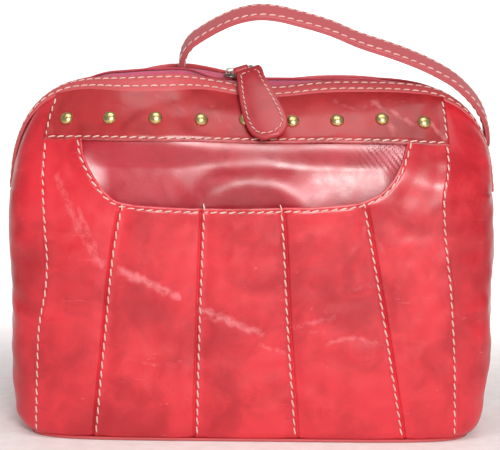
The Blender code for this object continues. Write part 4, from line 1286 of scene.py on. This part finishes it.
@dataclass
class MouthLine:
    """Lines round one edge of the mouth: up a shoulder, along the top, down the other."""

    face: Face
    join_x: float = 0.1205
    shoulder_steps: int = 80
    top_steps: int = 240
    coil_radius: float = 0.0012
    coil_gap: float = 0.0004       # from the middle plane to the coil
    coil_level: float = 0.2248     # height of the closed zip
    coil_drop: float = 0.0012      # how far the open zip lies under the bound edge
    foot_gap: float = 0.003        # the coil starts this far above the binding's foot
    closing_x: float = 0.075       # the zip comes down with the edge beyond this x
    stand_front: float = 0.0048    # how far the open zip's front tape stands up
    stand_back: float = 0.0022

    def row(self, margin: float, lift: Array | float) -> Array:
        """Points at a distance outwards from the bound edge.

        Args:
            margin: distance from the edge; below zero is inside the mouth.
            lift: how far they stand off the skin.

        Returns:
            The line of points.
        """
        count = 2 * self.shoulder_steps + self.top_steps
        lift = np.broadcast_to(np.asarray(lift, float), (count,))
        x = np.linspace(-self.join_x, self.join_x, self.top_steps)
        depth = SKIN.mouth_half(x) + margin
        mid = lift[self.shoulder_steps:-self.shoulder_steps]
        z = SKIN.edge_height(x, depth, -mid)
        parts = []
        for side, raised, end in ((Side.LEFT, lift[:self.shoulder_steps], z[0]),
                                  (Side.RIGHT, lift[-self.shoulder_steps:], z[-1])):
            height = np.linspace(SKIN.zip_end_z, end, self.shoulder_steps + 1)[:-1]
            if side is Side.RIGHT:
                height = height[::-1]
            at = SKIN.side_x(side, height, SKIN.mouth + margin, -raised)
            parts.append(np.stack([at, np.full_like(at, SKIN.mouth + margin), height], axis=1))
        top = np.stack([x, depth, z], axis=1)
        line = np.concatenate([parts[0], top, parts[1]])
        eased = line.copy()
        for _ in range(3):
            eased[1:-1] = 0.25 * eased[:-2] + 0.5 * eased[1:-1] + 0.25 * eased[2:]
        eased[:, 1] *= self.face.value
        eased[:, 2] += mouth_shift(eased[:, 0], eased[:, 2], self.face)
        return eased

    def coil(self) -> tuple[Array, Array]:
        """Centre line of the zip's coil, and the outward direction along it."""
        top_x = np.linspace(-self.join_x, self.join_x, self.top_steps)
        off, level = self.coil_radius + self.coil_gap, self.coil_level
        depth = SKIN.mouth_half(top_x) - SKIN.mouth + off
        edge = SKIN.edge_height(top_x, SKIN.mouth_half(top_x)) - self.coil_drop
        opened = smooth((SKIN.spread_start - top_x) / SKIN.spread_ramp)
        z = level + (edge - level) * opened
        closing = (np.minimum(level, edge) - level) * smooth((top_x - self.closing_x) / 0.012)
        z = np.where(top_x > self.closing_x, level + closing, z)
        parts = []
        for side, end in ((Side.LEFT, z[0]), (Side.RIGHT, z[-1])):
            height = np.linspace(SKIN.zip_end_z + self.foot_gap, end, self.shoulder_steps + 1)[:-1]
            if side is Side.RIGHT:
                height = height[::-1]
            at = SKIN.side_x(side, height, off, 0.0)
            parts.append(np.stack([at, np.full_like(at, off), height], axis=1))
        line = np.concatenate([parts[0], np.stack([top_x, depth, z], axis=1), parts[1]])
        for _ in range(6):
            line[1:-1] = 0.25 * line[:-2] + 0.5 * line[1:-1] + 0.25 * line[2:]
        line[:, 1] *= self.face.value
        stand = smooth((-0.022 - line[:, 0]) / 0.022) * smooth((line[:, 0] + 0.118) / 0.030)
        line[:, 2] += (self.stand_front if self.face is Face.FRONT else self.stand_back) * stand
        along = np.gradient(line, axis=0)
        out = np.stack([-along[:, 2], np.zeros(len(line)), along[:, 0]], axis=1)
        out /= np.maximum(np.linalg.norm(out, axis=1)[:, None], 1e-9)
        return line, out


@dataclass
class Binding:
    """The padded binding round one edge of the mouth, with its two rows of stitches."""

    face: Face
    section: tuple[tuple[float, float], ...] = (
        (0.0014, -0.0013), (0.0000, -0.0012), (-0.0009, -0.0006), (-0.0012, 0.0003), (-0.0009, 0.0012),
        (-0.0002, 0.0017), (0.0006, 0.0018), (0.0012, 0.0015), (0.0018, 0.0019), (0.0028, 0.0022),
        (0.0038, 0.0021), (0.0048, 0.0018), (0.0054, 0.0014), (0.0060, 0.0016), (0.0066, 0.0013),
        (0.0070, 0.0007), (0.0071, -0.0002))
    stitch_rows: tuple[float, float] = (0.0011, 0.0054)

    def build(self) -> None:
        """Build the binding and sew it."""
        line = MouthLine(self.face)
        count = 2 * line.shoulder_steps + line.top_steps
        run = np.linspace(0.0, 400.0, count)
        rows, wear = [], []
        for margin, lift in self.section:
            pucker = 0.00010 * np.sin(run * 1.05 + margin * 900.0) if lift > 0.0004 else 0.0
            rows.append(line.row(margin, lift + pucker))
            # Pale lines along the two folded edges: edge rubbing and a painted highlight; a faint even share
            # elsewhere.
            edge = abs(margin - 0.0066) < 0.0005 or abs(margin + 0.0009) < 0.0005
            wear.append(np.full(count, 0.55 if edge else 0.12))
        name = self.face.name.lower()
        piece = MeshMaker.grid(f"mouth_binding_{name}", np.array(rows), np.array(wear),
                               turned=self.face is Face.FRONT)
        dress(piece, BINDING)
        settle(piece, self.face)
        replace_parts(piece, f"{name}_binding", f"{name}_binding_left_shoulder",
                    f"{name}_binding_right_shoulder")
        bodies = []
        for margin in self.stitch_rows:
            low, high = line.row(margin, 0.0016), line.row(margin, 0.0026)
            facing = high - low
            facing /= np.linalg.norm(facing, axis=1)[:, None]
            bodies += STITCH.bodies(low[2:-2], facing[2:-2])
        sewn = dress(MeshMaker.loops(f"binding_stitches_{name}", bodies), THREAD)
        settle(sewn, self.face)


@dataclass
class Zipper:
    """Tape, coil and teeth along one edge of the mouth."""

    face: Face
    tooth_pitch: float = 0.00127
    cord: float = 0.0008

    def build(self) -> None:
        """Build the tape and the toothed coil."""
        line = MouthLine(self.face)
        name = self.face.name.lower()
        coil, out = line.coil()
        rim = line.row(-0.0002, -0.0008)
        rows = []
        for share in np.linspace(0.0, 1.0, 7):
            sag = 0.0010 * math.sin(math.pi * share)
            near = coil - out * 0.0004
            rows.append(rim + (near - rim) * share - out * sag)
        rows = np.array(rows)
        piece = MeshMaker.grid(f"zip_tape_{name}_weave", rows, rim=rows - out * 0.0005,
                               turned=self.face is Face.FRONT)
        dress(piece, TAPE)
        settle(piece, self.face)
        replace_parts(piece, f"zip_tape_{name}", f"zip_{name}_left_shoulder", f"zip_{name}_right_shoulder")
        count = round(path_length(coil) / self.tooth_pitch)
        at = even_path(coil, 2 * count + 1)
        facing = even_path(out, 2 * count + 1)
        start = 0 if self.face is Face.FRONT else 1
        inward = np.array([0.0, -self.face.value, 0.0])
        bodies = []
        for k in range(start, 2 * count, 2):
            normal = facing[k] / np.linalg.norm(facing[k])
            bodies.append(capsule(at[k] - inward * 0.0012, at[k] + inward * 0.0019, normal, 0.00046, 0.00072))
        turns = np.arange(8) * 2.0 * math.pi / 8
        cord = []
        for centre, normal in zip(coil[::3], out[::3]):
            cord.append(centre - inward * 0.0006 + self.cord * (np.cos(turns)[:, None] * inward
                                                               + np.sin(turns)[:, None] * normal))
        bodies.append(np.array(cord))
        teeth = MeshMaker.loops(f"zip_coil_{name}_teeth", bodies)
        dress(teeth, COIL)
        settle(teeth, self.face)
        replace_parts(teeth, f"zip_coil_{name}")


def bar(path: Array, across: Sequence[float], half_w: float, half_t: float, corner: float) -> Array:
    """Rings of a flat bar along a path; across is the direction of its width."""
    along = np.gradient(path, axis=0)
    broad = np.tile(np.asarray(across, float), (len(path), 1))
    out = np.cross(along, broad)
    out /= np.linalg.norm(out, axis=1)[:, None]
    ends = np.linspace(0.0, 1.0, len(path))
    return swept(path, broad, out, lambda s: rounded_section(half_w, half_t, corner)
                 * (0.8 if s in (ends[0], ends[-1]) else 1.0))


@dataclass
class SliderPull:
    """The zip's slider, its wire link and the stitched leather tab."""

    x: float = -0.014
    coil_z: float = 0.2248
    eye_rise: float = 0.0041
    lean: float = math.radians(17.0)
    slope: float = math.radians(45.7)
    link_width: float = 0.014
    link_back: float = 0.003
    link_front: float = 0.0155
    wire: float = 0.0007
    left_edge: tuple[tuple[float, float], ...] = (
        (0.0000, -0.0034), (0.0050, -0.0037), (0.0200, -0.0054), (0.0323, -0.0064), (0.0440, -0.0064),
        (0.0490, -0.0055), (0.0530, -0.0040), (0.0560, -0.0020), (0.0582, 0.0004), (0.0592, 0.0026))
    right_edge: tuple[tuple[float, float], ...] = (
        (0.0000, 0.0108), (0.0022, 0.0122), (0.0118, 0.0134), (0.0250, 0.0160), (0.0354, 0.0178),
        (0.0450, 0.0192), (0.0505, 0.0190), (0.0545, 0.0177), (0.0575, 0.0148), (0.0592, 0.0118))
    thick: float = 0.0013
    droop: float = 0.0035

    def axes(self) -> tuple[Array, Array, Array]:
        """Across, towards the front, and up, in the link's leaning frame."""
        c, s = math.cos(self.lean), math.sin(self.lean)
        return np.array([c, 0.0, s]), np.array([0.0, -1.0, 0.0]), np.array([-s, 0.0, c])

    def eye(self) -> Array:
        """Centre of the slider's eye."""
        return np.array([self.x, 0.0, self.coil_z + self.eye_rise])

    def make_slider(self) -> None:
        """Build the slider's two wings, its flanges and the bridge."""
        z = self.coil_z
        west, east = self.x - 0.0042, self.x + 0.0042
        run = np.linspace(west, east, 15)
        bodies = []
        width = 0.0045 - 0.0011 * np.abs(np.linspace(-1, 1, 15)) ** 3 - 0.0006 * (run < self.x) * smooth(
            (self.x - run) / 0.004)
        crown = 0.0004 * (1.0 - np.linspace(-1, 1, 15) ** 2)
        rings = []
        for place, half, lift in zip(run, width, crown):
            outline = rounded_section(float(half), 0.00062, 0.0005)
            height = z + 0.0022 + lift + outline[:, 1]
            rings.append(np.stack([np.full(len(outline), place), outline[:, 0], height], axis=1))
        bodies.append(np.array(rings))
        flange = np.stack([run[1:-1], -width[1:-1] + 0.0004, np.full(13, z + 0.0013)], axis=1)
        bodies.append(bar(flange, (0.0, 0.0, 1.0), 0.0007, 0.00045, 0.0003))
        flange = flange * np.array([1.0, -1.0, 1.0])
        bodies.append(bar(flange, (0.0, 0.0, 1.0), 0.0007, 0.00045, 0.0003))
        arch = rounded_curve(((west + 0.0012, 0, z + 0.0024), (west + 0.0013, 0, z + 0.0050),
                              (west + 0.0026, 0, z + 0.0063), (self.x, 0, z + 0.0066),
                              (east - 0.0022, 0, z + 0.0061), (east - 0.0011, 0, z + 0.0047),
                              (east - 0.0010, 0, z + 0.0024)), 6)
        bodies.append(bar(arch, (0.0, 1.0, 0.0), 0.0014, 0.00055, 0.0004))
        piece = MeshMaker.loops("slider_body", bodies)
        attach(dress(piece, PEWTER), "zip_slider_unit")
        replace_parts(piece, "zip_slider")

    def make_link(self) -> None:
        """Build the wire link."""
        across, front, up = self.axes()
        corner = 0.0016
        forward = 0.5 * (self.link_front - self.link_back)
        centre = self.eye() + 0.5 * self.link_width * across + forward * front
        half_a = 0.5 * self.link_width - corner
        half_b = 0.5 * (self.link_front + self.link_back) - corner
        outline = []
        for quarter, (sa, sb) in enumerate(((1, 1), (-1, 1), (-1, -1), (1, -1))):
            for step in range(7):
                turn = 0.5 * math.pi * (quarter + step / 6.0)
                outline.append(centre + (sa * half_a + corner * math.cos(turn)) * across
                               + (sb * half_b + corner * math.sin(turn)) * front)
        path = np.array(outline)
        turns = np.arange(10) * 2.0 * math.pi / 10
        rings = []
        for i, place in enumerate(path):
            along = path[(i + 1) % len(path)] - path[i - 1]
            aside = np.cross(along, up)
            aside /= np.linalg.norm(aside)
            rings.append(place + self.wire * (np.cos(turns)[:, None] * aside + np.sin(turns)[:, None] * up))
        piece = MeshMaker.grid("wire_link", np.array(rings + rings[:1]), closed=True, turned=True)
        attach(dress(piece, PEWTER), "pull_link")
        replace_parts(piece, "pull_link")

    def blade_point(self, along: Array, aside: Array, lift: Array | float) -> Array:
        """Points on the tab, from its hinge bar down."""
        across, front, up = self.axes()
        down = front * math.sin(self.slope) - up * math.cos(self.slope)
        out = np.cross(down, across)
        hinge = self.eye() + 0.5 * self.link_width * across + self.link_front * front
        sag = self.droop * (np.maximum(along, 0.0) / 0.058) ** 2
        height = np.asarray(lift, float) - sag
        return (hinge + np.multiply.outer(along, down) + np.multiply.outer(aside, across)
                + np.multiply.outer(height, out))

    def make_tab(self) -> None:
        """Build the folded, stitched tab."""
        run = np.concatenate([np.linspace(0.0012, 0.050, 40), np.linspace(0.0506, 0.0592, 18)])
        rings = []
        for s in run:
            west, east = float(through(self.left_edge, s)), float(through(self.right_edge, s))
            middle, half = 0.5 * (west + east), 0.5 * (east - west)
            inner = 0.6 if s in (run[0], run[-1]) else 1.0
            outline = rounded_section(half, self.thick * inner, min(0.0011, half * 0.9) * inner, 4)
            ring = denser(outline, 9)
            edge = half - np.abs(ring[:, 0])
            bottom = 0.0592 - s
            dent = 0.00035 * np.exp(-((np.minimum(edge, bottom) - 0.0029) / 0.0008) ** 2)
            crown = 0.0005 * smooth(edge / (half + 1e-6))
            lift = ring[:, 1] + np.sign(ring[:, 1]) * (crown - dent) * (np.abs(ring[:, 1]) > 0.0008)
            lift = lift + 0.0004 * math.sin(s / 0.011) + 0.0003 * np.sin(ring[:, 0] / 0.006 + 40.0 * s)
            rings.append(self.blade_point(np.full(len(ring), s), ring[:, 0] + middle, lift))
        blade = np.array(rings)
        turns = np.linspace(0.0, 2.0 * math.pi, 20, endpoint=False)
        sleeve = []
        sizes = ((-0.0048, 0.7), (-0.0046, 0.95), (-0.003, 1.0), (0.003, 1.0), (0.0046, 0.95), (0.0048, 0.7))
        for a, size in sizes:
            sleeve.append(self.blade_point(0.0023 * size * np.cos(turns) - 0.0001, np.full(20, a),
                                           0.0021 * size * np.sin(turns)))
        piece = MeshMaker.loops("stitched_tab", [blade, np.array(sleeve)], [0.0, 0.25])
        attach(dress(piece, TAB), "pull_tab")
        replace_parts(piece, "pull_tab")
        inset = 0.0029
        down = np.linspace(0.0055, 0.0520, 60)
        left = np.stack([down, through(self.left_edge, down) + inset], axis=1)
        right = np.stack([down, through(self.right_edge, down) - inset], axis=1)[::-1]
        foot = rounded_curve(((0.0520, float(left[-1, 1])), (0.0548, 0.0006), (0.0562, 0.0050),
                              (0.0561, 0.0112), (0.0520, float(right[0, 1]))), 8)
        top = np.stack([np.full(20, 0.0055), np.linspace(float(right[-1, 1]), float(left[0, 1]), 20)], axis=1)
        bodies = []
        for row in (np.concatenate([left, foot, right]), top):
            row = even_path(row, 160)
            places = np.array([self.blade_point(np.array([s]), np.array([a]), self.thick + 0.0004)[0]
                               for s, a in row])
            higher = np.array([self.blade_point(np.array([s]), np.array([a]), self.thick + 0.0014)[0]
                               for s, a in row])
            facing = (higher - places) / np.linalg.norm(higher - places, axis=1)[:, None]
            bodies += Stitching(pitch=0.0042, thread=0.00030).bodies(places, facing)
        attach(dress(MeshMaker.loops("tab_stitches", bodies), THREAD), "pull_tab")

    def build(self) -> None:
        """Build the slider, the link and the tab."""
        self.make_slider()
        self.make_link()
        self.make_tab()


@dataclass
class Handle:
    """The two-layer handle strap and its end tucked into the bag."""

    left: tuple[float, float, float] = (-0.045, 0.0, 0.228)
    right: tuple[float, float, float] = (0.1518, 0.0, 0.186)
    lean: float = math.radians(28.0)
    width: float = 0.018
    thick: float = 0.0029
    stitch_inset: float = 0.0027
    arch: tuple[tuple[float, float], ...] = (
        (-0.0450, -0.004), (-0.0450, 0.000), (-0.0448, 0.011), (-0.0402, 0.0232), (-0.0302, 0.0341),
        (-0.0191, 0.0433), (-0.0065, 0.0513), (0.0054, 0.0563), (0.0170, 0.0582), (0.0294, 0.0578),
        (0.0482, 0.0558), (0.0640, 0.0528), (0.0830, 0.0505), (0.0995, 0.0475), (0.1150, 0.0440),
        (0.1275, 0.0393), (0.1380, 0.0310), (0.1465, 0.0200), (0.1505, 0.0095), (0.1518, 0.000),
        (0.1518, -0.003))
    tuck: tuple[tuple[float, float], ...] = (
        (-0.045, 0.219), (-0.060, 0.199), (-0.098, 0.178), (-0.128, 0.166), (-0.1445, 0.158))

    def route(self) -> Array:
        """Centre line of the strap."""
        left, right = np.array(self.left), np.array(self.right)
        upright = np.array([0.0, -math.sin(self.lean), math.cos(self.lean)])
        span = right - left
        knots = [left + span * (x - left[0]) / span[0] + upright * rise for x, rise in self.arch]
        return even_path(rounded_curve(knots, 10), 150)

    def section(self, share: float, tip: bool) -> Array:
        """The strap's section: two layers with a painted groove between them."""
        half = 0.5 * self.width
        if tip and share > 0.965:
            half *= math.sqrt(max(1.0 - ((share - 0.965) / 0.036) ** 2, 0.06))
        layer = 0.5 * self.thick
        one = [(half - 0.0005, 0.00012), (half, 0.0005), (half - 0.0001, 0.0010), (half - 0.0007, layer)]
        outline = []
        for sa, sb in ((1, 1), (-1, 1), (-1, -1), (1, -1)):
            corner = [(sa * a, sb * b) for a, b in one]
            outline += corner if sa * sb > 0 else corner[::-1]
        dense = denser(np.array(outline), 12)
        edge = half - np.abs(dense[:, 0])
        crown = 0.00045 * smooth(edge / 0.004) - 0.0003 * np.exp(-((edge - self.stitch_inset) / 0.0007) ** 2)
        dense[:, 1] += np.where(np.abs(dense[:, 1]) > 0.0012, np.sign(dense[:, 1]) * crown, 0.0)
        return dense

    def strap(self, name: str, path: Array, broad: Array, body: str, node: str, tip: bool) -> None:
        """Build one length of strap with its stitches.

        Args:
            name: the piece's name.
            path: its centre line.
            broad: direction of its width.
            body: the body that it rides on.
            node: the CAD node that it replaces.
            tip: round the far end.
        """
        along = np.gradient(path, axis=0)
        out = np.cross(along, broad)
        out /= np.linalg.norm(out, axis=1)[:, None]
        wide = np.tile(broad, (len(path), 1))
        wave = 0.0003 * np.sin(np.linspace(0.0, 30.0, len(path)))[:, None]
        rings = swept(path + out * wave, wide, out, lambda s: self.section(s, tip))
        piece = MeshMaker.loops(name, [rings])
        edge = np.abs((rings - path[:, None, :]) @ broad)
        pale_share = np.where(edge > 0.5 * self.width - 0.0009, 0.45, 0.0).ravel()
        piece.data.attributes["wear"].data.foreach_set("value", pale_share.astype(np.float32))
        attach(dress(piece, STRAP), body)
        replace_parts(piece, node)
        bodies = []
        for face in (1.0, -1.0):
            for across in (-1.0, 1.0):
                lift = (0.5 * self.thick + 0.00015) * face
                row = path + out * (wave + lift) + wide * across * (0.5 * self.width - self.stitch_inset)
                bodies += STITCH.bodies(row[3:-8 if tip else -2], out[3:-8 if tip else -2] * face)
        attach(dress(MeshMaker.loops(f"{name}_stitches", bodies), THREAD), body)

    def build(self) -> None:
        """Build the strap and its tucked end."""
        broad = np.array([0.0, math.cos(self.lean), math.sin(self.lean)])
        self.strap("handle_strap_leather", self.route(), broad, "handle", "handle_strap", True)
        knots = [(x, 0.0, z) for x, z in self.tuck]
        tucked = even_path(rounded_curve(knots, 10), 60)
        self.strap("handle_tucked_leather", tucked, np.array([0.0, 1.0, 0.0]), "bag_body",
                   "handle_strap_tucked_end", False)


@dataclass
class Lining:
    """The loose cloth lining inside the bag and the pocket."""

    thick: float = 0.0006

    def cloth(self, name: str, rows: Array, node: str, closed: bool = False, mouth: bool = False) -> None:
        """Make one sheet of lining cloth.

        Args:
            name: the piece's name.
            rows: its points as (row, column, 3).
            node: the CAD node that it replaces.
            closed: join its last column to its first.
            mouth: bake its placement into its points, as the front's pieces, instead of attaching it to the
                bag's body.
        """
        du, dv = np.gradient(rows, axis=1), np.gradient(rows, axis=0)
        if closed:
            du = 0.5 * (np.roll(rows, -1, axis=1) - np.roll(rows, 1, axis=1))
        normal = np.cross(du, dv)
        normal /= np.maximum(np.linalg.norm(normal, axis=2)[..., None], 1e-12)
        piece = MeshMaker.grid(name, rows, rim=rows - normal * self.thick, closed=closed)
        loop = np.concatenate([rows, rows[:, :1]], axis=1) if closed else rows
        wide = float(np.mean([path_length(row) for row in loop]))
        corner = loop[:-1, :-1], loop[:-1, 1:], loop[1:, 1:], loop[1:, :-1]
        area = 0.5 * np.linalg.norm(np.cross(corner[2] - corner[0], corner[3] - corner[1]), axis=2).sum()
        dress(piece, LINING)
        settle(piece, Face.FRONT if mouth else Face.BACK)
        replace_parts(piece, node)

    def build(self) -> None:
        """Build each sheet of the lining."""
        z = np.linspace(0.0102, 0.1500, 60)[:, None]
        turn = np.linspace(0.0, 2.0 * math.pi, 260, endpoint=False)[None, :]
        across, through_bag = squarish(turn)
        slack = 0.0008 * Waves(0.05, 91).at(turn * 0.12 + 0 * z, z + 0 * turn) - 0.0006
        fold = 0.0006 * np.sin(turn * 34.0 + 2.0 * np.sin(turn * 5.0)) * smooth(z / 0.15)
        width = SKIN.half_width - 0.0056 + slack + fold
        deep = SKIN.half_depth - 0.0086 + slack + fold
        rows = np.stack([width * across, 0.0030 + deep * through_bag, z + 0 * turn], axis=-1)
        self.cloth("lining_wall_cloth", rows, "lining_wall", closed=True)
        for face in Face:
            x = np.linspace(-0.1215, 0.1215, 150)[None, :]
            top = SKIN.edge_height(x[0], SKIN.mouth_half(x[0]))[None, :] - 0.004
            v = np.linspace(0.0, 1.0, 16)[:, None]
            z = 0.194 + v * (top - 0.194)
            x = x + 0 * z
            inset = 0.0045 + 0.0003 * Waves(0.03, 95).at(x, z)
            points = np.stack([x, face.value * SKIN.depth(x, z, inset), z], axis=-1)
            name = face.name.lower()
            self.cloth(f"band_lining_{name}_cloth", points, f"{name}_band_lining", mouth=face is Face.FRONT)
        v = np.linspace(0.0, 1.0, 40)[:, None]
        t = np.linspace(-1.0, 1.0, 120)[None, :]
        z = 0.0025 + v * (0.1175 - 0.0025) + 0 * t
        x = np.sin(0.5 * math.pi * t) * (0.1255 - 0.002 * v)
        inset = 0.0052 + 0.0033 * smooth((0.1205 - np.abs(x)) / 0.018) + 0.0003 * Waves(0.04, 97).at(x, z)
        points = np.stack([x, -SKIN.depth(x, z, inset), z], axis=-1)
        self.cloth("pocket_lining_cloth", points, "pocket_lining")
        v = np.linspace(0.02, 1.0, 24)[:, None]
        t = np.linspace(0.0, 2.0 * math.pi, 160, endpoint=False)[None, :]
        across, through_bag = squarish(t)
        x, y = 0.125 * v * across, 0.0045 + 0.047 * v * through_bag
        points = np.stack([x, y, 0.0056 + 0.0004 * Waves(0.04, 99).at(x, y) ** 2], axis=-1)
        self.cloth("lining_floor_cloth", points, "lining_floor", closed=True)


@dataclass
class Base:
    """The base panel with its piped edge."""

    half_x: float = 0.1385
    half_y: float = 0.0545
    thick: float = 0.0018
    pipe: float = 0.0010

    def outline(self, grow: float, count: int = 220) -> Array:
        """Rounded rectangle as (x, y), grown by a margin."""
        turn = np.linspace(0.0, 2.0 * math.pi, count, endpoint=False)
        x, y = squarish(turn)
        return np.stack([(self.half_x + grow) * x, (self.half_y + grow) * y], axis=1)

    def build(self) -> None:
        """Build the panel and the piping."""
        rings = []
        for grow, z in ((-0.0500, 0.0), (-0.0300, 0.0), (-0.0100, 0.0), (-0.0012, 0.0), (-0.0003, 0.0004),
                        (0.0, 0.0009), (-0.0003, 0.0014), (-0.0012, self.thick), (-0.0300, self.thick)):
            line = self.outline(grow)
            rings.append(np.concatenate([line, np.full((len(line), 1), z)], axis=1))
        piece = MeshMaker.loops("base_leather", [np.array(rings)])
        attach(dress(piece, BAND), "bag_body")
        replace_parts(piece, "base_panel")
        line = self.outline(0.0016)
        turns = np.arange(10) * 2.0 * math.pi / 10
        away = np.gradient(line, axis=0)[:, ::-1] * np.array([1.0, -1.0])
        away /= np.linalg.norm(away, axis=1)[:, None]
        rings = []
        for (x, y), (ax, ay) in zip(line, away):
            centre = np.array([x, y, self.pipe])
            out = np.array([ax, ay, 0.0])
            rings.append(centre + self.pipe * (np.cos(turns)[:, None] * out
                                               + np.sin(turns)[:, None] * np.array([0.0, 0.0, 1.0])))
        pipe = MeshMaker.grid("base_piping", np.array(rings + rings[:1]), np.full((len(line) + 1, 10), 0.5),
                              closed=True, turned=True)
        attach(dress(pipe, BINDING), "bag_body")
        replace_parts(pipe, "base_welt")


@dataclass
class Trims:
    """CAD pieces that keep their own shape and take a finished material."""

    def build(self) -> None:
        """Dress the stud backs, the slider's lower plate and the base board."""
        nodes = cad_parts
        board = YarnFinish("grey_base_board", (0.160, 0.130, 0.110), (0.260, 0.220, 0.190), scale=700.0,
                           sheen=0.0)
        kept = {f"stud_back_{n}": BRASS for n in range(1, 10)}
        kept |= {"zip_slider_underplate": PEWTER, "base_board": board}
        for name, finish in kept.items():
            node = nodes[name]
            node.data.materials.clear()
            node.data.materials.append(finish.make())
            LOG.info("%s keeps its shape in %s", name, finish.name)


@dataclass
class Studio:
    """Pale table and backdrop that glow more towards the back as painted light, soft lights and the camera.
    """

    azimuth: float = math.radians(0.37)
    elevation: float = math.radians(7.55)
    roll: float = math.radians(0.48)
    distance: float = 0.963
    lens: float = 106.1
    target: tuple[float, float, float] = (-0.0009, 0.0, 0.1295)

    def make_camera(self) -> None:
        """Place the camera at the bag's front."""
        data = bpy.data.cameras.new("view")
        data.lens, data.sensor_width = self.lens, 36.0
        data.clip_start, data.clip_end = 0.05, 20.0
        camera = bpy.data.objects.new("view", data)
        bpy.context.collection.objects.link(camera)
        back = Vector((math.sin(self.azimuth) * math.cos(self.elevation),
                       -math.cos(self.azimuth) * math.cos(self.elevation), math.sin(self.elevation)))
        turn = (-back).to_track_quat("-Z", "Y").to_matrix() @ Matrix.Rotation(self.roll, 3, "Z")
        camera.matrix_world = Matrix.Translation(Vector(self.target) + back * self.distance) @ turn.to_4x4()
        bpy.context.scene.camera = camera

    def make_stage(self) -> None:
        """Build the table that sweeps up into the backdrop; its paper glows more towards the back as painted
        light.
        """
        profile = [(-2.4, 0.0), (1.4, 0.0), (1.9, 0.0), (2.1, 0.02), (2.22, 0.08), (2.28, 0.20), (2.30, 0.5),
                   (2.30, 2.4)]
        line = rounded_curve(profile, 6)
        x = np.linspace(-3.0, 3.0, 9)
        rows = np.stack([np.stack([x, np.full(9, y), np.full(9, z - 0.0001)], axis=1) for y, z in line])
        floor = MeshMaker.grid("glowing_backdrop", rows)
        made = bpy.data.materials.new("pale_paper")
        made.use_nodes = True
        graph = Graph(made.node_tree)
        shader = made.node_tree.nodes["Principled BSDF"]
        place = graph.node("ShaderNodeTexCoord").outputs["Object"]
        fibre = graph.ramp(graph.noise(place, 90.0, 4.0), 0.3, 0.7)
        paper = graph.mix(fibre, (0.78, 0.745, 0.735, 1.0), (0.84, 0.815, 0.81, 1.0))
        graph.feed(shader.inputs["Base Color"], paper)
        shader.inputs["Roughness"].default_value = 0.85
        # Painted light: the paper glows, faintly around the bag and brighter from 0.1 m behind it, so the
        # backdrop reads white.
        apart = graph.node("ShaderNodeSeparateXYZ", Vector=place).outputs
        shader.inputs["Emission Color"].default_value = (1.0, 0.995, 0.985, 1.0)
        graph.feed(shader.inputs["Emission Strength"], graph.ramp(apart[1], 0.10, 0.42, 0.06, 0.66))
        floor.data.materials.append(made)

    def light(self, name: str, place: tuple, aim: tuple, size: tuple, power: float, tint: tuple) -> None:
        """Hang one soft area light.

        Args:
            name: its name.
            place: where it hangs.
            aim: the point that it faces.
            size: its width and height.
            power: watts.
            tint: its colour.
        """
        data = bpy.data.lights.new(name, "AREA")
        data.shape, data.size, data.size_y = "RECTANGLE", size[0], size[1]
        data.energy, data.color = power, tint
        lamp = bpy.data.objects.new(name, data)
        bpy.context.collection.objects.link(lamp)
        lamp.location = place
        lamp.rotation_euler = (Vector(aim) - Vector(place)).to_track_quat("-Z", "Y").to_euler()

    def build(self) -> None:
        """Build the studio."""
        self.make_camera()
        self.make_stage()
        scene = bpy.context.scene
        scene.view_settings.view_transform = "Standard"
        world = bpy.data.worlds.new("soft_room")
        world.use_nodes = True
        sky = world.node_tree.nodes["Background"]
        sky.inputs[0].default_value = (1.0, 0.985, 0.975, 1.0)
        sky.inputs[1].default_value = 0.30
        scene.world = world
        self.light("key", (0.22, -1.28, 0.58), (0.0, 0.0, 0.12), (0.34, 0.30), 14.5, (1.0, 0.985, 0.97))
        self.light("top", (0.0, -0.35, 1.25), (0.0, 0.0, 0.15), (0.90, 0.50), 5.0, (1.0, 0.99, 0.98))


def main() -> None:
    """Build every part of the bag and its studio."""
    logging.basicConfig(level=logging.INFO, format="%(name)s %(message)s")
    parts = [Studio(), FrontPocket(), Band(Face.FRONT), Band(Face.BACK), Studs()]
    parts += [Gusset(side) for side in Side]
    parts.append(BackPanel())
    for face in Face:
        parts += [Binding(face), Zipper(face)]
    parts += [SliderPull(), Handle(), Lining(), Base(), Trims()]
    for part in parts:
        LOG.info("building %s", part)
        part.build()


if __name__ == "__main__":
    main()
